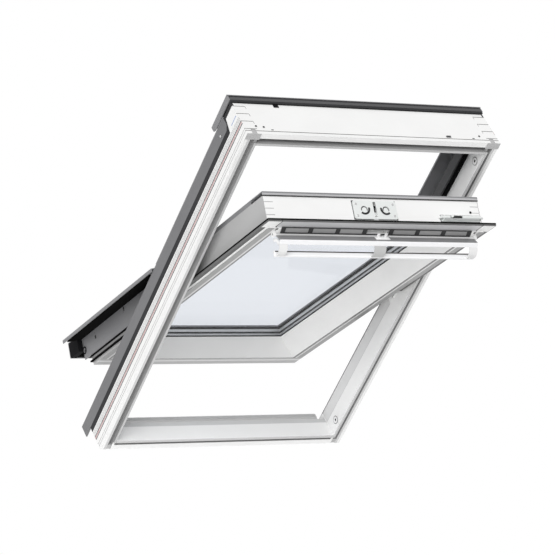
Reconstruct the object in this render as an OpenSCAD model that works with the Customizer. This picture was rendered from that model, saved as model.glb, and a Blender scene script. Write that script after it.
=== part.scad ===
// Centre-pivot roof window with its frame, standing upright in its own frame:
// X across the width, Y outwards to the weather side, Z up the slope.
// The origin is the centre of the lining groove on the nose plane.

/* [Frame] */
// Outer width of the frame
frame_w = 660; // [550:10:940]
// Outer height of the frame along the slope
frame_h = 978; // [780:2:1400]
// Thickness of a frame member, from its outer side to its inner face
member_t = 31; // [30:0.5:34]
// Depth of the jambs and the sill, from the nose to the weather side
jamb_d = 76; // [74:0.5:77]
// Depth of the head
head_d = 104; // [98:1:105]
// Width of the nose beside the lining groove
nose_w = 6; // [5:0.5:8]
// Width of the lining groove
groove_w = 11; // [9:0.5:13]
// Depth of the lining groove below the lip
groove_d = 14; // [10:1:18]
// Setback of the lip behind the nose
lip_setback = 5; // [3:0.5:8]
// Size of the bevel on the nose
nose_bevel = 1.5; // [0.5:0.25:2.5]
// Width of a marking line cut in the outer side
line_w = 1.2; // [0.8:0.1:2]
// Depth of a marking line
line_d = 0.8; // [0.4:0.1:1.2]
// Step that sets back the weather half of the lower jambs
jamb_step = 1.5; // [0.5:0.25:2.5]
// Distance of that step from the nose
jamb_step_y = 46; // [40:1:50]
// Distance of the first corner finger from the nose plane
comb_y = 21; // [20:0.5:24]
// Width of a corner finger
comb_w = 24.5; // [22:0.5:25]
// Distance of the head's last corner finger from its weather side
comb_end = 9.5; // [9:0.5:12]
// Radius of the pilot holes for the fixing brackets
pilot_r = 2.5; // [1.5:0.25:3]
// Depth of the pilot holes
pilot_d = 16; // [10:1:20]
// Distance of the pilot holes from the nose plane
pilot_y = 57; // [55:1:59]
// Distance of the pilot holes from the frame's ends
pilot_end = 68; // [60:1:90]

/* [Stops and seals] */
// Distance of the jamb stops from the nose plane
stop_y = 52; // [50:0.5:54]
// Width of the jamb stops
stop_w = 15; // [13:0.5:15]
// Distance of the head stop from the nose plane
head_stop_y = 76; // [75:0.5:77]
// Height of the head stop below the head's inner face
head_stop_h = 26; // [22:0.5:26]
// Thickness of the upper frame seal
seal_t = 5; // [3:0.25:5]
// Width of the upper frame seal on the jambs
seal_w = 10; // [7:0.5:12]
// Height of the upper frame seal on the head
seal_h = 14; // [10:0.5:15]
// Height of the seal on the sill
sill_seal_h = 3; // [2:0.25:3.5]
// Width of the seal on the sill
sill_seal_w = 14; // [8:0.5:16]
// Width of the notch in each end of the sill for the sash's side plates
sill_notch_w = 21; // [20:0.5:24]
// Distance of that notch's floor from the nose plane
sill_notch_y = 58; // [50:1:59]

/* [Weather covers] */
// Distance of the side seal strip from the nose plane
strip_y = 61; // [60.5:0.5:66]
// Thickness of the side seal strip
strip_t = 4; // [3:0.25:5]
// Distance along the slope over which the strip rises at the head
strip_rise = 10; // [8:0.5:16]
// Length of the raised part of the jamb at the head
jamb_head_l = 38; // [36:1:46]
// Thickness of the side cladding
clad_t = 3; // [2:0.25:3]
// Height of the side cladding above the jamb
clad_h = 32; // [31:0.5:34]
// Setback of the cladding's rounded-off upper corner
clad_corner = 10; // [6:0.5:12]
// Width of the cladding's foot on the jamb
clad_foot_w = 24; // [16:1:26]
// Length of the cladding below the frame's lower end
clad_tail = 31; // [20:1:40]
// Sheet thickness of the folded covers
sheet_t = 2; // [1.5:0.1:2]
// Rise of the sloping covers from the frame's side to the sash
cover_rise = 10; // [8:0.5:10]
// Gap between the upper covers and the sash
cover_gap = 2.5; // [2:0.25:4]
// Length of the top cover along the slope
hood_l = 95; // [80:1:110]
// Height of the top cover's inside above the nose plane
hood_y = 124; // [123:0.5:128]
// Thickness of the strip on the top cover's up-slope face
hood_strip_t = 4; // [3:0.25:4.5]
// Thickness of the top cover
hood_t = 3; // [2:0.25:4]
// Overhang of the top cover past the frame's upper end
hood_over = 5; // [4:0.5:8]
// Height of the top cover's end returns
hood_return = 13.5; // [12:0.5:18]
// Height of the sill cover's downturn
sill_cover_drop = 11; // [6:0.5:20]

/* [Sash] */
// Angle that the sash stands open
open_angle = 25.4; // [0:0.1:60]
// Distance of the pivot axis from the nose plane
pivot_y = 120; // [119:0.5:121]
// Running gap between the sash flange and the frame
flange_gap = 3; // [2.5:0.25:4]
// Width of the flange beyond the stiles
flange_w = 15; // [15:0.5:17]
// Height of the flange above the top rail
flange_h = 30; // [29:0.5:32]
// Distance of the flange's room face from the nose plane
flange_y = 39.5; // [38:0.25:40]
// Length of the stiles' corner pieces in the flange
flange_end_w = 19; // [14:0.5:24]
// Thickness of the flange
flange_t = 3.5; // [3:0.25:3.5]
// Thickness of the sash seal
sash_seal_t = 3.5; // [2.5:0.25:3.75]
// Width of the sash seal
sash_seal_w = 7; // [5:0.5:9]
// Height of the lower sash seal beyond the stiles
low_seal_h = 5; // [3:0.5:7]
// Gap between the bottom rail and the sill
bottom_gap = 12; // [11:0.5:16]
// Width of the lower sash seal's web
low_seal_w = 16; // [14:0.5:16]
// Width of the sash seal's legs on the stiles' sides
side_seal_w = 10; // [6:0.5:10]
// Distance of the sash's room face from the nose plane
room_y = 35; // [34:0.5:36]
// Distance of the glazing seat from the nose plane
seat_y = 88; // [86:0.5:89]
// Height of the glass above the sash's weather side
glass_proud = 4; // [3:0.25:5]
// Distance of the first sash corner finger from the nose plane
sash_comb_y = 52; // [48:0.5:54]
// Width of a sash corner finger
sash_comb_w = 15; // [12:0.5:16]
// Length of the seams along a sash corner finger
sash_comb_l = 24; // [18:0.5:24]
// Width of a stile on its room face
stile_room_w = 25.5; // [22:0.5:30]
// Width of a stile at the glazing seat
stile_seat_w = 56; // [52:0.5:60]
// Width of a stile beside the glazing rebate
stile_rebate_w = 35; // [33:0.5:38]
// Width of the bottom rail on its room face
bottom_room_w = 38; // [34:0.5:42]
// Width of the bottom rail at the glazing seat
bottom_seat_w = 48; // [45:0.5:52]
// Width of the rails beside the glazing rebate
rail_rebate_w = 25; // [23:0.5:27]
// Width of the top rail on its room face
top_room_w = 40; // [38:0.5:44]
// Width of the top rail at the glazing seat
top_seat_w = 50; // [47:0.5:54]

/* [Glazing] */
// Thickness of a pane
pane_t = 4; // [3:0.5:4.5]
// Width of the cavity between the panes
cavity_t = 16; // [14:0.5:16]
// Thickness of the inner glazing gasket
glaze_gasket_t = 2; // [1.5:0.25:2.5]
// Thickness of the outer glazing gasket
outer_gasket_t = 1.5; // [1:0.25:2]
// Gap between the panes' edge and the rebate
pane_gap = 2.5; // [2:0.25:4]
// Width of the spacer
spacer_w = 9; // [6:0.5:10]
// Setback of the spacer from the panes' edge
spacer_in = 8.5; // [3:0.5:15]

/* [Sash covers] */
// Height of the sash cladding above the sash
sash_clad_h = 10; // [9:0.5:10]
// Overlap of the sash cladding on the glass
sash_clad_lap = 22; // [18:0.5:24]
// Overhang of the top cladding past the top rail
clad_lip = 3; // [2.5:0.25:3]
// Overlap of the lower covers past the frame's side
lip_over = 3; // [2.5:0.25:4]
// Height of the lower covers' turned-down edge
lip_h = 8; // [5:0.5:9]
// Length of the lower covers' edge below the bottom rail
lip_tail = 39; // [36:0.5:44]
// Distance of the side plates' lower edge from the nose plane
plate_y = 60; // [59.5:0.25:66]
// Length of the side plates below the bottom rail
plate_tail = 35; // [30:0.5:36]
// Length of the bottom cover below the bottom rail
bottom_cover_l = 84; // [75:0.5:95]
// Distance of the bottom cover's lower edge from the nose plane
bottom_cover_y = 81; // [79.5:0.5:90]
// Overlap of the bottom cover past the stiles
bottom_cover_over = 15; // [12:0.5:16]
// Thickness of the foam strips inside the lower covers
foam_t = 6; // [3:0.5:8]
// Radius of the drain holes in the side plates
drain_r = 4; // [2:0.25:5]

/* [Pivot hinge] */
// Radius of the sash half's disc
disc_r = 30; // [24:0.5:31]
// Running clearance between the disc and its ring
disc_clear = 0.3; // [0.2:0.05:0.5]
// Radial width of the ring
ring_w = 6; // [4:0.25:6]
// Thickness of the frame half's plate
hinge_plate_t = 3; // [2:0.25:3]
// Side clearance between the hinge halves
hinge_side_gap = 0.6; // [0.4:0.1:1]
// Length of the hinge zone each way from the pivot
hinge_zone = 46; // [44:0.5:50]
// Distance of the frame half's lower edge from the nose plane
hinge_foot_y = 44; // [40:1:50]
// Distance of the hinge screws from the pivot along the slope
hinge_screw_z = 18; // [14:0.5:22]
// Radius of the hinge screws' heads
hinge_screw_r = 4; // [3:0.25:4.5]
// Gap at the covers' ends beside the pivot
cover_end_gap = 8; // [6:0.5:10]
// Width of the covers that runs on past the hinge
cover_edge_w = 28; // [20:0.5:28]

/* [Lock] */
// Length of the lock plate
lock_l = 112; // [100:1:130]
// Width of the lock plate
lock_w = 43; // [40:0.5:44]
// Thickness of the lock plate
lock_t = 3; // [2:0.25:3]
// Distance of the lock plate's room edge from the nose plane
lock_y = 61; // [60.5:0.5:62]
// Width of the latch
latch_w = 6; // [5:0.5:9]
// Length of the latch's arm
latch_l = 20; // [16:0.5:20]
// Thickness of the latch's arm
latch_t = 6; // [5:0.25:7]
// Radius of the latch's trunnions
trunnion_r = 2; // [1.5:0.25:2.5]
// Running clearance of the trunnions
trunnion_clear = 0.05; // [0.02:0.01:0.1]
// Thickness of the lugs that carry the latch
lug_t = 2; // [1.5:0.25:2.5]
// Gap between the latch and the walls of its slot
latch_gap = 0.6; // [0.5:0.1:1]
// Thickness of the striker plate
striker_t = 2; // [1:0.25:2]
// Length of the striker plate
striker_l = 80; // [60:1:100]
// Radius of the small screw heads
screw_r = 2.6; // [2:0.1:3]
// Height of the small screw heads
screw_h = 1; // [0.6:0.1:1.2]

/* [Barrel bolt] */
// Radius of the bolt
bolt_r = 3; // [2.5:0.1:3.2]
// Running clearance of the bolt in its housing
bolt_clear = 0.08; // [0.05:0.01:0.1]
// Clearance of the bolt in the bushings
bush_clear = 0.6; // [0.4:0.1:1]
// Throw of the bolt
bolt_throw = 26; // [25:0.5:27]
// Length of the bolt's housing
bolt_house_l = 103; // [80:1:110]
// Width of the bolt's housing
bolt_house_w = 14.5; // [12:0.5:15]
// Height of the bolt's axis above the top rail
bolt_h = 6.5; // [6:0.25:7]
// Distance of the bolt from the nose plane
bolt_y = 67.3; // [66:0.1:67.5]
// Gap between the housing and the sash's side
bolt_end = 6; // [4:0.5:10]
// Outer radius of a bushing
bush_r = 7; // [5.5:0.25:8]
// Height of a bushing's collar
collar_h = 0.8; // [0.5:0.1:1]
// Width of a bushing's collar
collar_w = 1.5; // [1:0.25:2]
// Length of a bushing
bush_l = 14; // [12:0.5:16]
// Opening angle of the ventilation position
vent_angle = 6.5; // [5:0.25:8]
// Opening angle of the cleaning position
clean_angle = 160; // [150:1:160]

/* [Ventilation flap] */
// Distance of the flap's ends from the sash's sides
flap_side = 23.5; // [23:0.25:25]
// Distance of the flap's pivot from the nose plane
flap_y = 27; // [26:0.25:27.25]
// Distance of the flap's pivot below the top rail's upper face
flap_drop = 13.5; // [12.5:0.25:14]
// Radius of the flap's trunnions
flap_pin_r = 2.5; // [2:0.25:3]
// Running clearance of the flap's trunnions
flap_pin_clear = 0.05; // [0.02:0.01:0.1]
// Wall of a flap bearing round its trunnion
bearing_wall = 2; // [1.5:0.25:3]
// Side gap between the flap and its bearings
flap_gap = 0.8; // [0.5:0.1:1.5]
// Width of a flap bearing
bearing_w = 7; // [5:0.25:9]
// Width of the flap
flap_w = 24; // [20:0.5:25]
// Thickness of the flap's plate
flap_t = 3; // [2:0.25:4]
// Height of the flap's turned edge
flap_edge = 9; // [6:0.5:10]
// Angle of the open flap above the room direction
flap_rise = 37; // [34:0.5:40]
// Distance of the control bar from the flap's pivot, into the room
bar_out = 38; // [34:0.5:40]
// Distance of the control bar below the flap's pivot
bar_drop = 17; // [14:0.5:20]
// Height of the control bar
bar_h = 14; // [10:0.5:14]
// Thickness of the control bar
bar_t = 7; // [5:0.25:8]
// Width of the flap's end horns
horn_w = 20; // [14:0.5:30]
// Thickness of the horns' curved wall
horn_t = 3; // [2:0.25:4]
// Bulge of the horns' curve
horn_bulge = 12; // [8:0.5:16]
// Width of the middle bracket
bracket_w = 29; // [20:0.5:36]
// Thickness of the ventilation grille
grille_t = 2; // [1:0.25:2]
// Number of openings in the ventilation grille
grille_n = 7; // [5:2:11]
// Setback of the grille's ends from the flap's ends
grille_in = 10.5; // [4:0.5:14]
// Thickness of the filter strip behind the grille
filter_t = 0.8; // [0.5:0.1:1]
// Half the width of the pocket for the flap's keeper
keeper_half = 26; // [24:0.5:28]
// Width of the grille's rim above and below the openings
grille_rim = 1.5; // [1:0.25:3]
// Width of the bars between the openings
grille_bar = 10; // [6:0.5:14]

/* [Hidden] */

$fn = 48;
eps = 0.02;
white = [0.93, 0.93, 0.92];
grey = [0.45, 0.45, 0.47];
charcoal = [0.25, 0.25, 0.26];
black = [0.06, 0.06, 0.06];
steel = [0.72, 0.73, 0.74];
glass = [0.8, 0.88, 0.93, 0.4];

// Faces of the frame
half_w = frame_w / 2;
half_h = frame_h / 2;
in_x = half_w - member_t;
in_z = half_h - member_t;
groove_out = member_t - nose_w - groove_w;
groove_floor = lip_setback + groove_d;
lines_y = [14.5, 21, 36, 44];
rib_lines_y = [49, 53, 57];
clad_top = jamb_d + clad_h;
head_stop_z = in_z - head_stop_h;
strip_z = half_h - jamb_head_l - strip_rise;
strip_top = clad_top - 2;
clad_end_z = strip_z + 3;

// Faces of the sash, in its closed place
flange_x = in_x - flange_gap;
flange_z = in_z - flange_gap;
sash_x = flange_x - flange_w;
top_z = flange_z - flange_h;
bottom_z = -(in_z - bottom_gap);
stile_room_x = sash_x - stile_room_w;
stile_seat_x = sash_x - stile_seat_w;
stile_rebate_x = sash_x - stile_rebate_w;
top_rebate_z = top_z - rail_rebate_w;
bottom_rebate_z = bottom_z + rail_rebate_w;
vent_y = flange_y - 9.5;
vent_z = top_z - 12;
vent_top_z = top_z + 3;
ledge_z = vent_z - 9;
flange_foot_y = vent_y + (flange_y - vent_y) * (top_z - vent_z) / (vent_top_z - vent_z);

// Corner fingers, each a band from the nose side to the weather side
head_bands = [for (y = [comb_y, head_d - comb_end - comb_w]) [y, y + comb_w]];
sill_bands = [[comb_y, comb_y + comb_w]];
sash_bands = [for (i = [0, 2]) [sash_comb_y + i * sash_comb_w, sash_comb_y + (i + 1) * sash_comb_w]];

// Glazing
pane_x = stile_rebate_x - pane_gap;
pane_top = top_rebate_z - pane_gap;
pane_bottom = bottom_rebate_z + pane_gap;
pane_y = seat_y + glaze_gasket_t;
cavity_y = pane_y + pane_t;
outer_y = cavity_y + cavity_t;
glass_top_y = outer_y + pane_t;
sash_d = glass_top_y - glass_proud;

// Covers
sash_clad_y = sash_d + sash_clad_h;
sash_clad_in = sash_clad_lap - pane_gap;
clad_inner_x = pane_x - sash_clad_lap;
lip_x = half_w + lip_over;
lip_y = clad_top + 1;
cover_in_x = sash_x + cover_gap;
plate_t = sheet_t;
plate_x = sash_x + plate_t;
hinge_notch_x = half_w - cover_edge_w;
hood_x = half_w + 3;
hood_low_z = half_h + hood_over - hood_l;

// Hinge
ring_in_r = disc_r + disc_clear;
ring_r = ring_in_r + ring_w;
ring_x = in_x - hinge_plate_t;
ring_l = 6;
disc_x1 = ring_x - hinge_side_gap;
disc_x0 = ring_x - ring_l;
sash_plate_t = disc_x0 - hinge_side_gap - sash_x;

// Lock and bolt
latch_pivot = [lock_y + 12, top_z - 5];
latch_half = latch_w / 2;
slot_half = latch_half + latch_gap + lug_t + latch_gap;
lock_face_z = top_z + lock_t;
bolt_z = top_z + bolt_h;
bolt_tip_x = sash_x - 1;
bolt_house_x = sash_x - bolt_end - bolt_house_l;
knob_x = bolt_house_x + 22;
bolt_tail_x = bolt_house_x - 6;
bolt_reach = norm([pivot_y - bolt_y, bolt_z]);
bolt_lean = atan2(pivot_y - bolt_y, bolt_z);
stop_top = bolt_z - bush_r - 1;

// Flap
flap_half = sash_x - flap_side;
flap_pivot = [flap_y, top_z - flap_drop];
bar_pos = flap_pivot + [-bar_out, -bar_drop];
flap_dir = [-cos(flap_rise), sin(flap_rise)];
flap_norm = [-sin(flap_rise), -cos(flap_rise)];
bearing_in_x = flap_half + flap_gap;

function at(base, along, across) = base + along * flap_dir + across * flap_norm;

// Outline in (Y, Z), drawn out along X from x0 to x1
module across(x0, x1) translate([x0, 0, 0]) rotate([90, 0, 90]) linear_extrude(x1 - x0) children();

// Outline in (X, Y), drawn out along Z from z0 to z1
module up(z0, z1) translate([0, 0, z0]) linear_extrude(z1 - z0) children();

// Box between two corners
module box(low, high) translate(low) cube(high - low);

// The right-hand shape, or its mirror image on the left
module on_side(side) mirror([side < 0 ? 1 : 0, 0, 0]) children();

// A round bar along X
module bar_x(r, x0, x1, yz) {
  translate([x0, yz[0], yz[1]]) rotate([0, 90, 0]) cylinder(r = r, h = x1 - x0);
}

// A plate outline with round corners
module rounded(w, h, r) {
  square([w - 2 * r, h], center = true);
  square([w, h - 2 * r], center = true);
  for (x = [-1, 1], y = [-1, 1]) translate([x * (w / 2 - r), y * (h / 2 - r)]) circle(r = r);
}

// The sash stands open on the pivot axis
module sash_pose() {
  translate([0, pivot_y, 0]) rotate([open_angle, 0, 0]) translate([0, -pivot_y, 0]) children();
}

// Section of a frame member: first coordinate inwards from the outer side, second outwards from the nose
module member_section(depth, lines) {
  difference() {
    polygon([
      [0, lip_setback], [0, depth], [member_t, depth], [member_t, nose_bevel], [member_t - nose_bevel, 0],
      [member_t - nose_w, 0], [member_t - nose_w, groove_floor], [groove_out, groove_floor],
      [groove_out, lip_setback]
    ]);
    for (y = lines) translate([-1, y - line_w / 2]) square([1 + line_d, line_w]);
  }
}

// Side view of the seal strip under the side cladding, in (Y, Z)
module strip_outline() {
  polygon([
    [strip_y, -half_h], [strip_y, strip_z], [head_d - 8, strip_z + strip_rise], [head_d - 8, half_h],
    [strip_top, half_h], [strip_top, clad_end_z], [jamb_d + clad_corner, clad_end_z],
    [jamb_d, clad_end_z - clad_corner], [jamb_d, -half_h]
  ]);
}

// Right jamb, with its stop over the upper half and its raised upper end
module jamb(side) {
  color(white) on_side(side) difference() {
    union() {
      up(-half_h, half_h) translate([half_w, 0]) mirror([1, 0])
        member_section(jamb_d, concat(lines_y, rib_lines_y));
      across(in_x, half_w) polygon([
        [jamb_d - 1, clad_end_z], [head_d, clad_end_z], [head_d, half_h], [jamb_d - 1, half_h]
      ]);
    }
    across(half_w - strip_t, half_w + 1) strip_outline();
    box([in_x - 1, jamb_step_y, -in_z], [in_x + jamb_step, jamb_d + 1, -hinge_zone]);
    for (z = [-1, 1]) bar_x(pilot_r, half_w - pilot_d, half_w + 1, [pilot_y, z * (half_h - pilot_end)]);
    if (side > 0) for (yz = bush_places()) bar_x(bush_r, in_x - 1, in_x + bush_l, yz);
    for (s = [0, 1]) mirror([0, 0, s])
      box([in_x - 1, -1, in_z + nose_w], [half_w + 1, lip_setback, half_h + 1]);
    fingers(head_bands);
    seams(head_bands);
    mirror([0, 0, 1]) fingers(sill_bands);
    mirror([0, 0, 1]) seams(sill_bands);
  }
}

// Fingers of the right upper corner that belong to the head
module fingers(bands) for (b = bands) box([in_x, b[0], in_z], [half_w, b[1], half_h]);

// Fine seams along those fingers on the up-slope face
module seams(bands) {
  for (b = bands, y = b)
    box([in_x, y - line_w / 2, half_h - line_d], [half_w + 1, y + line_w / 2, half_h + 1]);
}

// Fingers with the outer side's marking lines run on over their ends
module marked_fingers(bands) {
  difference() {
    fingers(bands);
    for (y = lines_y)
      box([half_w - line_d, y - line_w / 2, in_z - 1], [half_w + 1, y + line_w / 2, half_h + 1]);
  }
}

// Where the bolt meets the right jamb in the closed, ventilation and cleaning positions
function bush_places() = [
  for (a = [0, vent_angle, clean_angle])
    [pivot_y - bolt_reach * sin(a + bolt_lean), bolt_reach * cos(a + bolt_lean)]
];

module head() {
  color(white) difference() {
    union() {
      across(-in_x, in_x) translate([0, half_h]) rotate(-90) member_section(head_d, [lines_y[0]]);
      for (s = [-1, 1]) on_side(s) marked_fingers(head_bands);
      across(-in_x, in_x) polygon([
        [head_stop_y, in_z + 1], [head_stop_y, head_stop_z], [head_d, head_stop_z], [head_d, in_z + 1]
      ]);
    }
    box([-slot_half - 2, head_stop_y + 2, head_stop_z - 1],
      [slot_half + 2, head_stop_y + 24, head_stop_z + 16]);
    for (s = [-1, 1]) on_side(s) seams(head_bands);
  }
}

module sill() {
  color(white) difference() {
    union() {
      across(-in_x, in_x) translate([0, -half_h]) rotate(90) mirror([0, 1]) member_section(jamb_d, []);
      for (s = [-1, 1]) on_side(s) mirror([0, 0, 1]) marked_fingers(sill_bands);
    }
    for (s = [-1, 1]) on_side(s) mirror([0, 0, 1]) seams(sill_bands);
    for (s = [-1, 1]) on_side(s)
      box([in_x - sill_notch_w, sill_notch_y, -half_h - 1], [in_x + 1, jamb_d + 1, -in_z + 1]);
  }
}

module left_jamb() jamb(-1);
module right_jamb() jamb(1);

// Keys in the jambs' lining groove at the four corners, the upper two with a plate on the lip
module corner_keys() {
  x0 = half_w - groove_out - groove_w;
  plug_z = half_h - groove_out;
  color(grey) for (sx = [-1, 1]) on_side(sx) {
    mirror([0, 0, 1]) box([x0, lip_setback + 1, plug_z], [x0 + groove_w, groove_floor, half_h - 1]);
    union() {
      box([x0, lip_setback - 1, plug_z], [x0 + groove_w, groove_floor, half_h - 1]);
      box([in_x - 4, lip_setback - 1.5, plug_z - 2], [half_w, lip_setback, half_h]);
    }
  }
}

// Stops that the upper frame seal stands on
module jamb_stops() {
  color(grey) for (s = [-1, 1]) on_side(s)
    up(hinge_zone, stop_top) translate([in_x - stop_w, stop_y]) square([stop_w, jamb_d - stop_y]);
}

module side_seal(side) color(black) on_side(side) across(half_w - strip_t, half_w) strip_outline();
module left_side_seal() side_seal(-1);
module right_side_seal() side_seal(1);

// Side cladding: an upstand with a foot on the jamb, cut to the jamb's raised end
module side_cladding(side) {
  color(grey) on_side(side) {
    union() {
      across(half_w - clad_t, half_w) polygon([
        [jamb_d, -half_h - clad_tail], [jamb_d, clad_end_z - clad_corner],
        [jamb_d + clad_corner, clad_end_z], [clad_top, clad_end_z], [clad_top, -half_h - clad_tail]
      ]);
      box([half_w - clad_foot_w, jamb_d, -half_h],
        [half_w - clad_t + 1, jamb_d + sheet_t, clad_end_z - clad_corner - 1]);
    }
  }
}
module left_side_cladding() side_cladding(-1);
module right_side_cladding() side_cladding(1);

// Sloping sheet over the edge of the sash's upper half, cut back at the hinge
module upper_cover(side) {
  color(grey) on_side(side) difference() {
    up(cover_end_gap, clad_end_z) polygon([
      [half_w, clad_top], [half_w, clad_top + sheet_t], [cover_in_x, clad_top + sheet_t + cover_rise],
      [cover_in_x, clad_top + cover_rise - 2], [cover_in_x + sheet_t, clad_top + cover_rise - 2],
      [cover_in_x + sheet_t, clad_top + cover_rise], [half_w - clad_t, clad_top]
    ]);
    box([0, 0, 0], [hinge_notch_x, pivot_y + 60, ring_r + 2]);
  }
}
module left_upper_cover() upper_cover(-1);
module right_upper_cover() upper_cover(1);

// Hood over the head: top plate, end returns and two ribs that stand on the head
module top_cover() {
  up_z = half_h + hood_over;
  color(grey) union() {
    across(-hood_x, hood_x) polygon([
      [hood_y, up_z], [hood_y + hood_t - 1, up_z], [hood_y + hood_t, up_z - 1],
      [hood_y + hood_t, hood_low_z], [hood_y, hood_low_z]
    ]);
    for (s = [-1, 1]) on_side(s) across(hood_x - 2.5, hood_x) polygon([
      [hood_y + 1, up_z - 1], [hood_y + 1, hood_low_z], [hood_y - hood_return + hood_t, hood_low_z],
      [hood_y - hood_return, hood_low_z + 6], [hood_y - hood_return, up_z - 1]
    ]);
    for (z = [in_z + 8, in_z + 22])
      box([-in_x, head_d, z], [in_x, hood_y + 1, z + sheet_t]);
  }
}

// Strip that closes the hood's up-slope face, with a raised middle band
module hood_strip() {
  up_z = half_h + hood_over;
  reach = hood_x - 2.5;
  mid = (head_d + 1 + hood_y) / 2;
  color(charcoal) across(-reach, reach) polygon([
    [head_d + 1, up_z - 1], [mid - 5, up_z - 1], [mid - 4, up_z], [mid + 4, up_z], [mid + 5, up_z - 1],
    [hood_y, up_z - 1], [hood_y, up_z - hood_strip_t], [head_d + 1, up_z - hood_strip_t]
  ]);
}

// Sheet on the weather side of the sill, turned down at its outer edge
module sill_cover() {
  reach = in_x - sill_notch_w - 2;
  color(grey) across(-reach, reach) polygon([
    [jamb_d, -in_z - 2], [jamb_d, -half_h - 3], [jamb_d - sill_cover_drop, -half_h - 3],
    [jamb_d - sill_cover_drop, -half_h - 3 - sheet_t], [jamb_d + sheet_t, -half_h - 3 - sheet_t],
    [jamb_d + sheet_t, -in_z - 2]
  ]);
}

module sill_seal() {
  reach = in_x - sill_notch_w - 2;
  color(black) across(-reach, reach) polygon([
    [jamb_d - 2, -in_z], [jamb_d - 2 - sill_seal_w, -in_z],
    [jamb_d - sill_seal_w, -in_z + sill_seal_h], [jamb_d - 4, -in_z + sill_seal_h]
  ]);
}

// Seal round the upper half: two legs against the jamb stops and a bar on the head
module upper_frame_seal() {
  color(black) union() {
    for (s = [-1, 1]) on_side(s)
      box([in_x - seal_w, stop_y - seal_t, hinge_zone], [in_x, stop_y, in_z]);
    box([-in_x, stop_y - seal_t, in_z - seal_h], [in_x, stop_y, in_z]);
  }
}

module striker_plate() {
  color(steel) difference() {
    box([-striker_l / 2, head_stop_y + 1, head_stop_z - striker_t],
      [striker_l / 2, head_stop_y + 27, head_stop_z]);
    box([-slot_half - 1, head_stop_y + 3, head_stop_z - 5],
      [slot_half + 1, head_stop_y + 23, head_stop_z + 1]);
  }
}

// Bushings for the bolt, with a collar in the ventilation and cleaning positions
module bolt_bushings() {
  color(white) for (yz = bush_places()) difference() {
    union() {
      bar_x(bush_r, in_x, in_x + bush_l, yz);
      if (yz[0] < stop_y) bar_x(bush_r + collar_w, in_x - collar_h, in_x, yz);
    }
    bar_x(bolt_r + bush_clear, in_x - 1, in_x + bush_l - 2, yz);
  }
}

// Half disc towards the room, about the pivot axis
module half_disc(r, x0, x1) {
  intersection() {
    bar_x(r, x0, x1, [pivot_y, 0]);
    box([x0 - 1, pivot_y - r - 1, -r - 1], [x1 + 1, pivot_y, r + 1]);
  }
}

// Frame half of the pivot hinge: a plate on the jamb with a half ring
module hinge_frame(side) {
  color(steel) on_side(side) difference() {
    union() {
      half_disc(ring_r, ring_x - ring_l, in_x);
      box([ring_x, hinge_foot_y, -ring_r + 6], [in_x, pivot_y - ring_r / 2, ring_r - 6]);
    }
    bar_x(ring_in_r, ring_x - ring_l - 1, ring_x, [pivot_y, 0]);
  }
}
module left_hinge_frame() hinge_frame(-1);
module right_hinge_frame() hinge_frame(1);

module hinge_screws() {
  color(steel) for (s = [-1, 1], z = [-hinge_screw_z, hinge_screw_z]) on_side(s)
    bar_x(hinge_screw_r, ring_x - 1.5, ring_x, [hinge_foot_y + 8, z]);
}

// Section of a stile in (X, Y), right-hand side
module stile_section() {
  polygon([
    [sash_x, room_y], [sash_x, sash_d], [stile_rebate_x, sash_d], [stile_rebate_x, seat_y],
    [stile_seat_x, seat_y], [stile_room_x, room_y]
  ]);
}

module stile_bar(side) on_side(side) up(bottom_z, top_z) stile_section();

// Fingers of the right upper sash corner that belong to the top rail
module sash_fingers(grow) {
  for (b = sash_bands)
    box([stile_seat_x - 1, b[0], top_rebate_z + 2], [sash_x + grow, b[1], top_z + grow]);
}

// Fine seams along those fingers on the top face
module sash_seams() {
  for (b = sash_bands, y = b)
    box([sash_x - sash_comb_l, y - line_w / 2, top_z - line_d], [sash_x + 1, y + line_w / 2, top_z + 1]);
}

// Right stile, with its flange over the upper half
module stile(side) {
  color(white) sash_pose() on_side(side) difference() {
    union() {
      stile_bar(1);
      up(hinge_zone, top_z) translate([sash_x - 1, flange_y]) square([flange_w + 1, flange_t]);
      box([sash_x - flange_end_w, flange_y, top_z - 1], [flange_x, flange_y + flange_t, flange_z]);
    }
    sash_fingers(1);
    sash_seams();
  }
}
module left_stile() stile(-1);
module right_stile() stile(1);

// Top rail: vent slope and ledge on the room side, glazing rebate on the weather side
module top_rail() {
  color(white) sash_pose() union() {
    for (s = [-1, 1]) on_side(s) difference() {
      sash_fingers(0);
      sash_seams();
    }
    rail_body();
  }
}

// The top rail between the stiles, cut for the lock, the flap's keeper and the flap's ends
module rail_body() {
  difference() {
    across(-sash_x, sash_x) polygon([
      [sash_d, top_z], [flange_foot_y, top_z], [vent_y, vent_z], [vent_y, ledge_z], [room_y, ledge_z - 5],
      [room_y, top_z - top_room_w], [seat_y, top_z - top_seat_w], [seat_y, top_rebate_z],
      [sash_d, top_rebate_z]
    ]);
    for (s = [-1, 1]) stile_bar(s);
    box([-slot_half, lock_y + 4, top_z - 16], [slot_half, lock_y + lock_w - 2, top_z + 1]);
    box([-keeper_half, vent_y - 1, vent_z - 5], [keeper_half, flange_y + 2, vent_top_z - 1]);
    for (s = [-1, 1]) on_side(s)
      box([flap_half + flap_gap / 2, 0, top_z - 60], [sash_x + 1, room_y, vent_top_z + 1]);
  }
}

// Flange bar along the top rail, between the stiles' corner pieces
module top_flange() {
  reach = sash_x - flange_end_w;
  color(grey) sash_pose() across(-reach, reach) polygon([
    [flange_foot_y, top_z], [flange_y + flange_t, top_z], [flange_y + flange_t, flange_z],
    [flange_y, flange_z], [flange_y, vent_top_z]
  ]);
}

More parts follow.
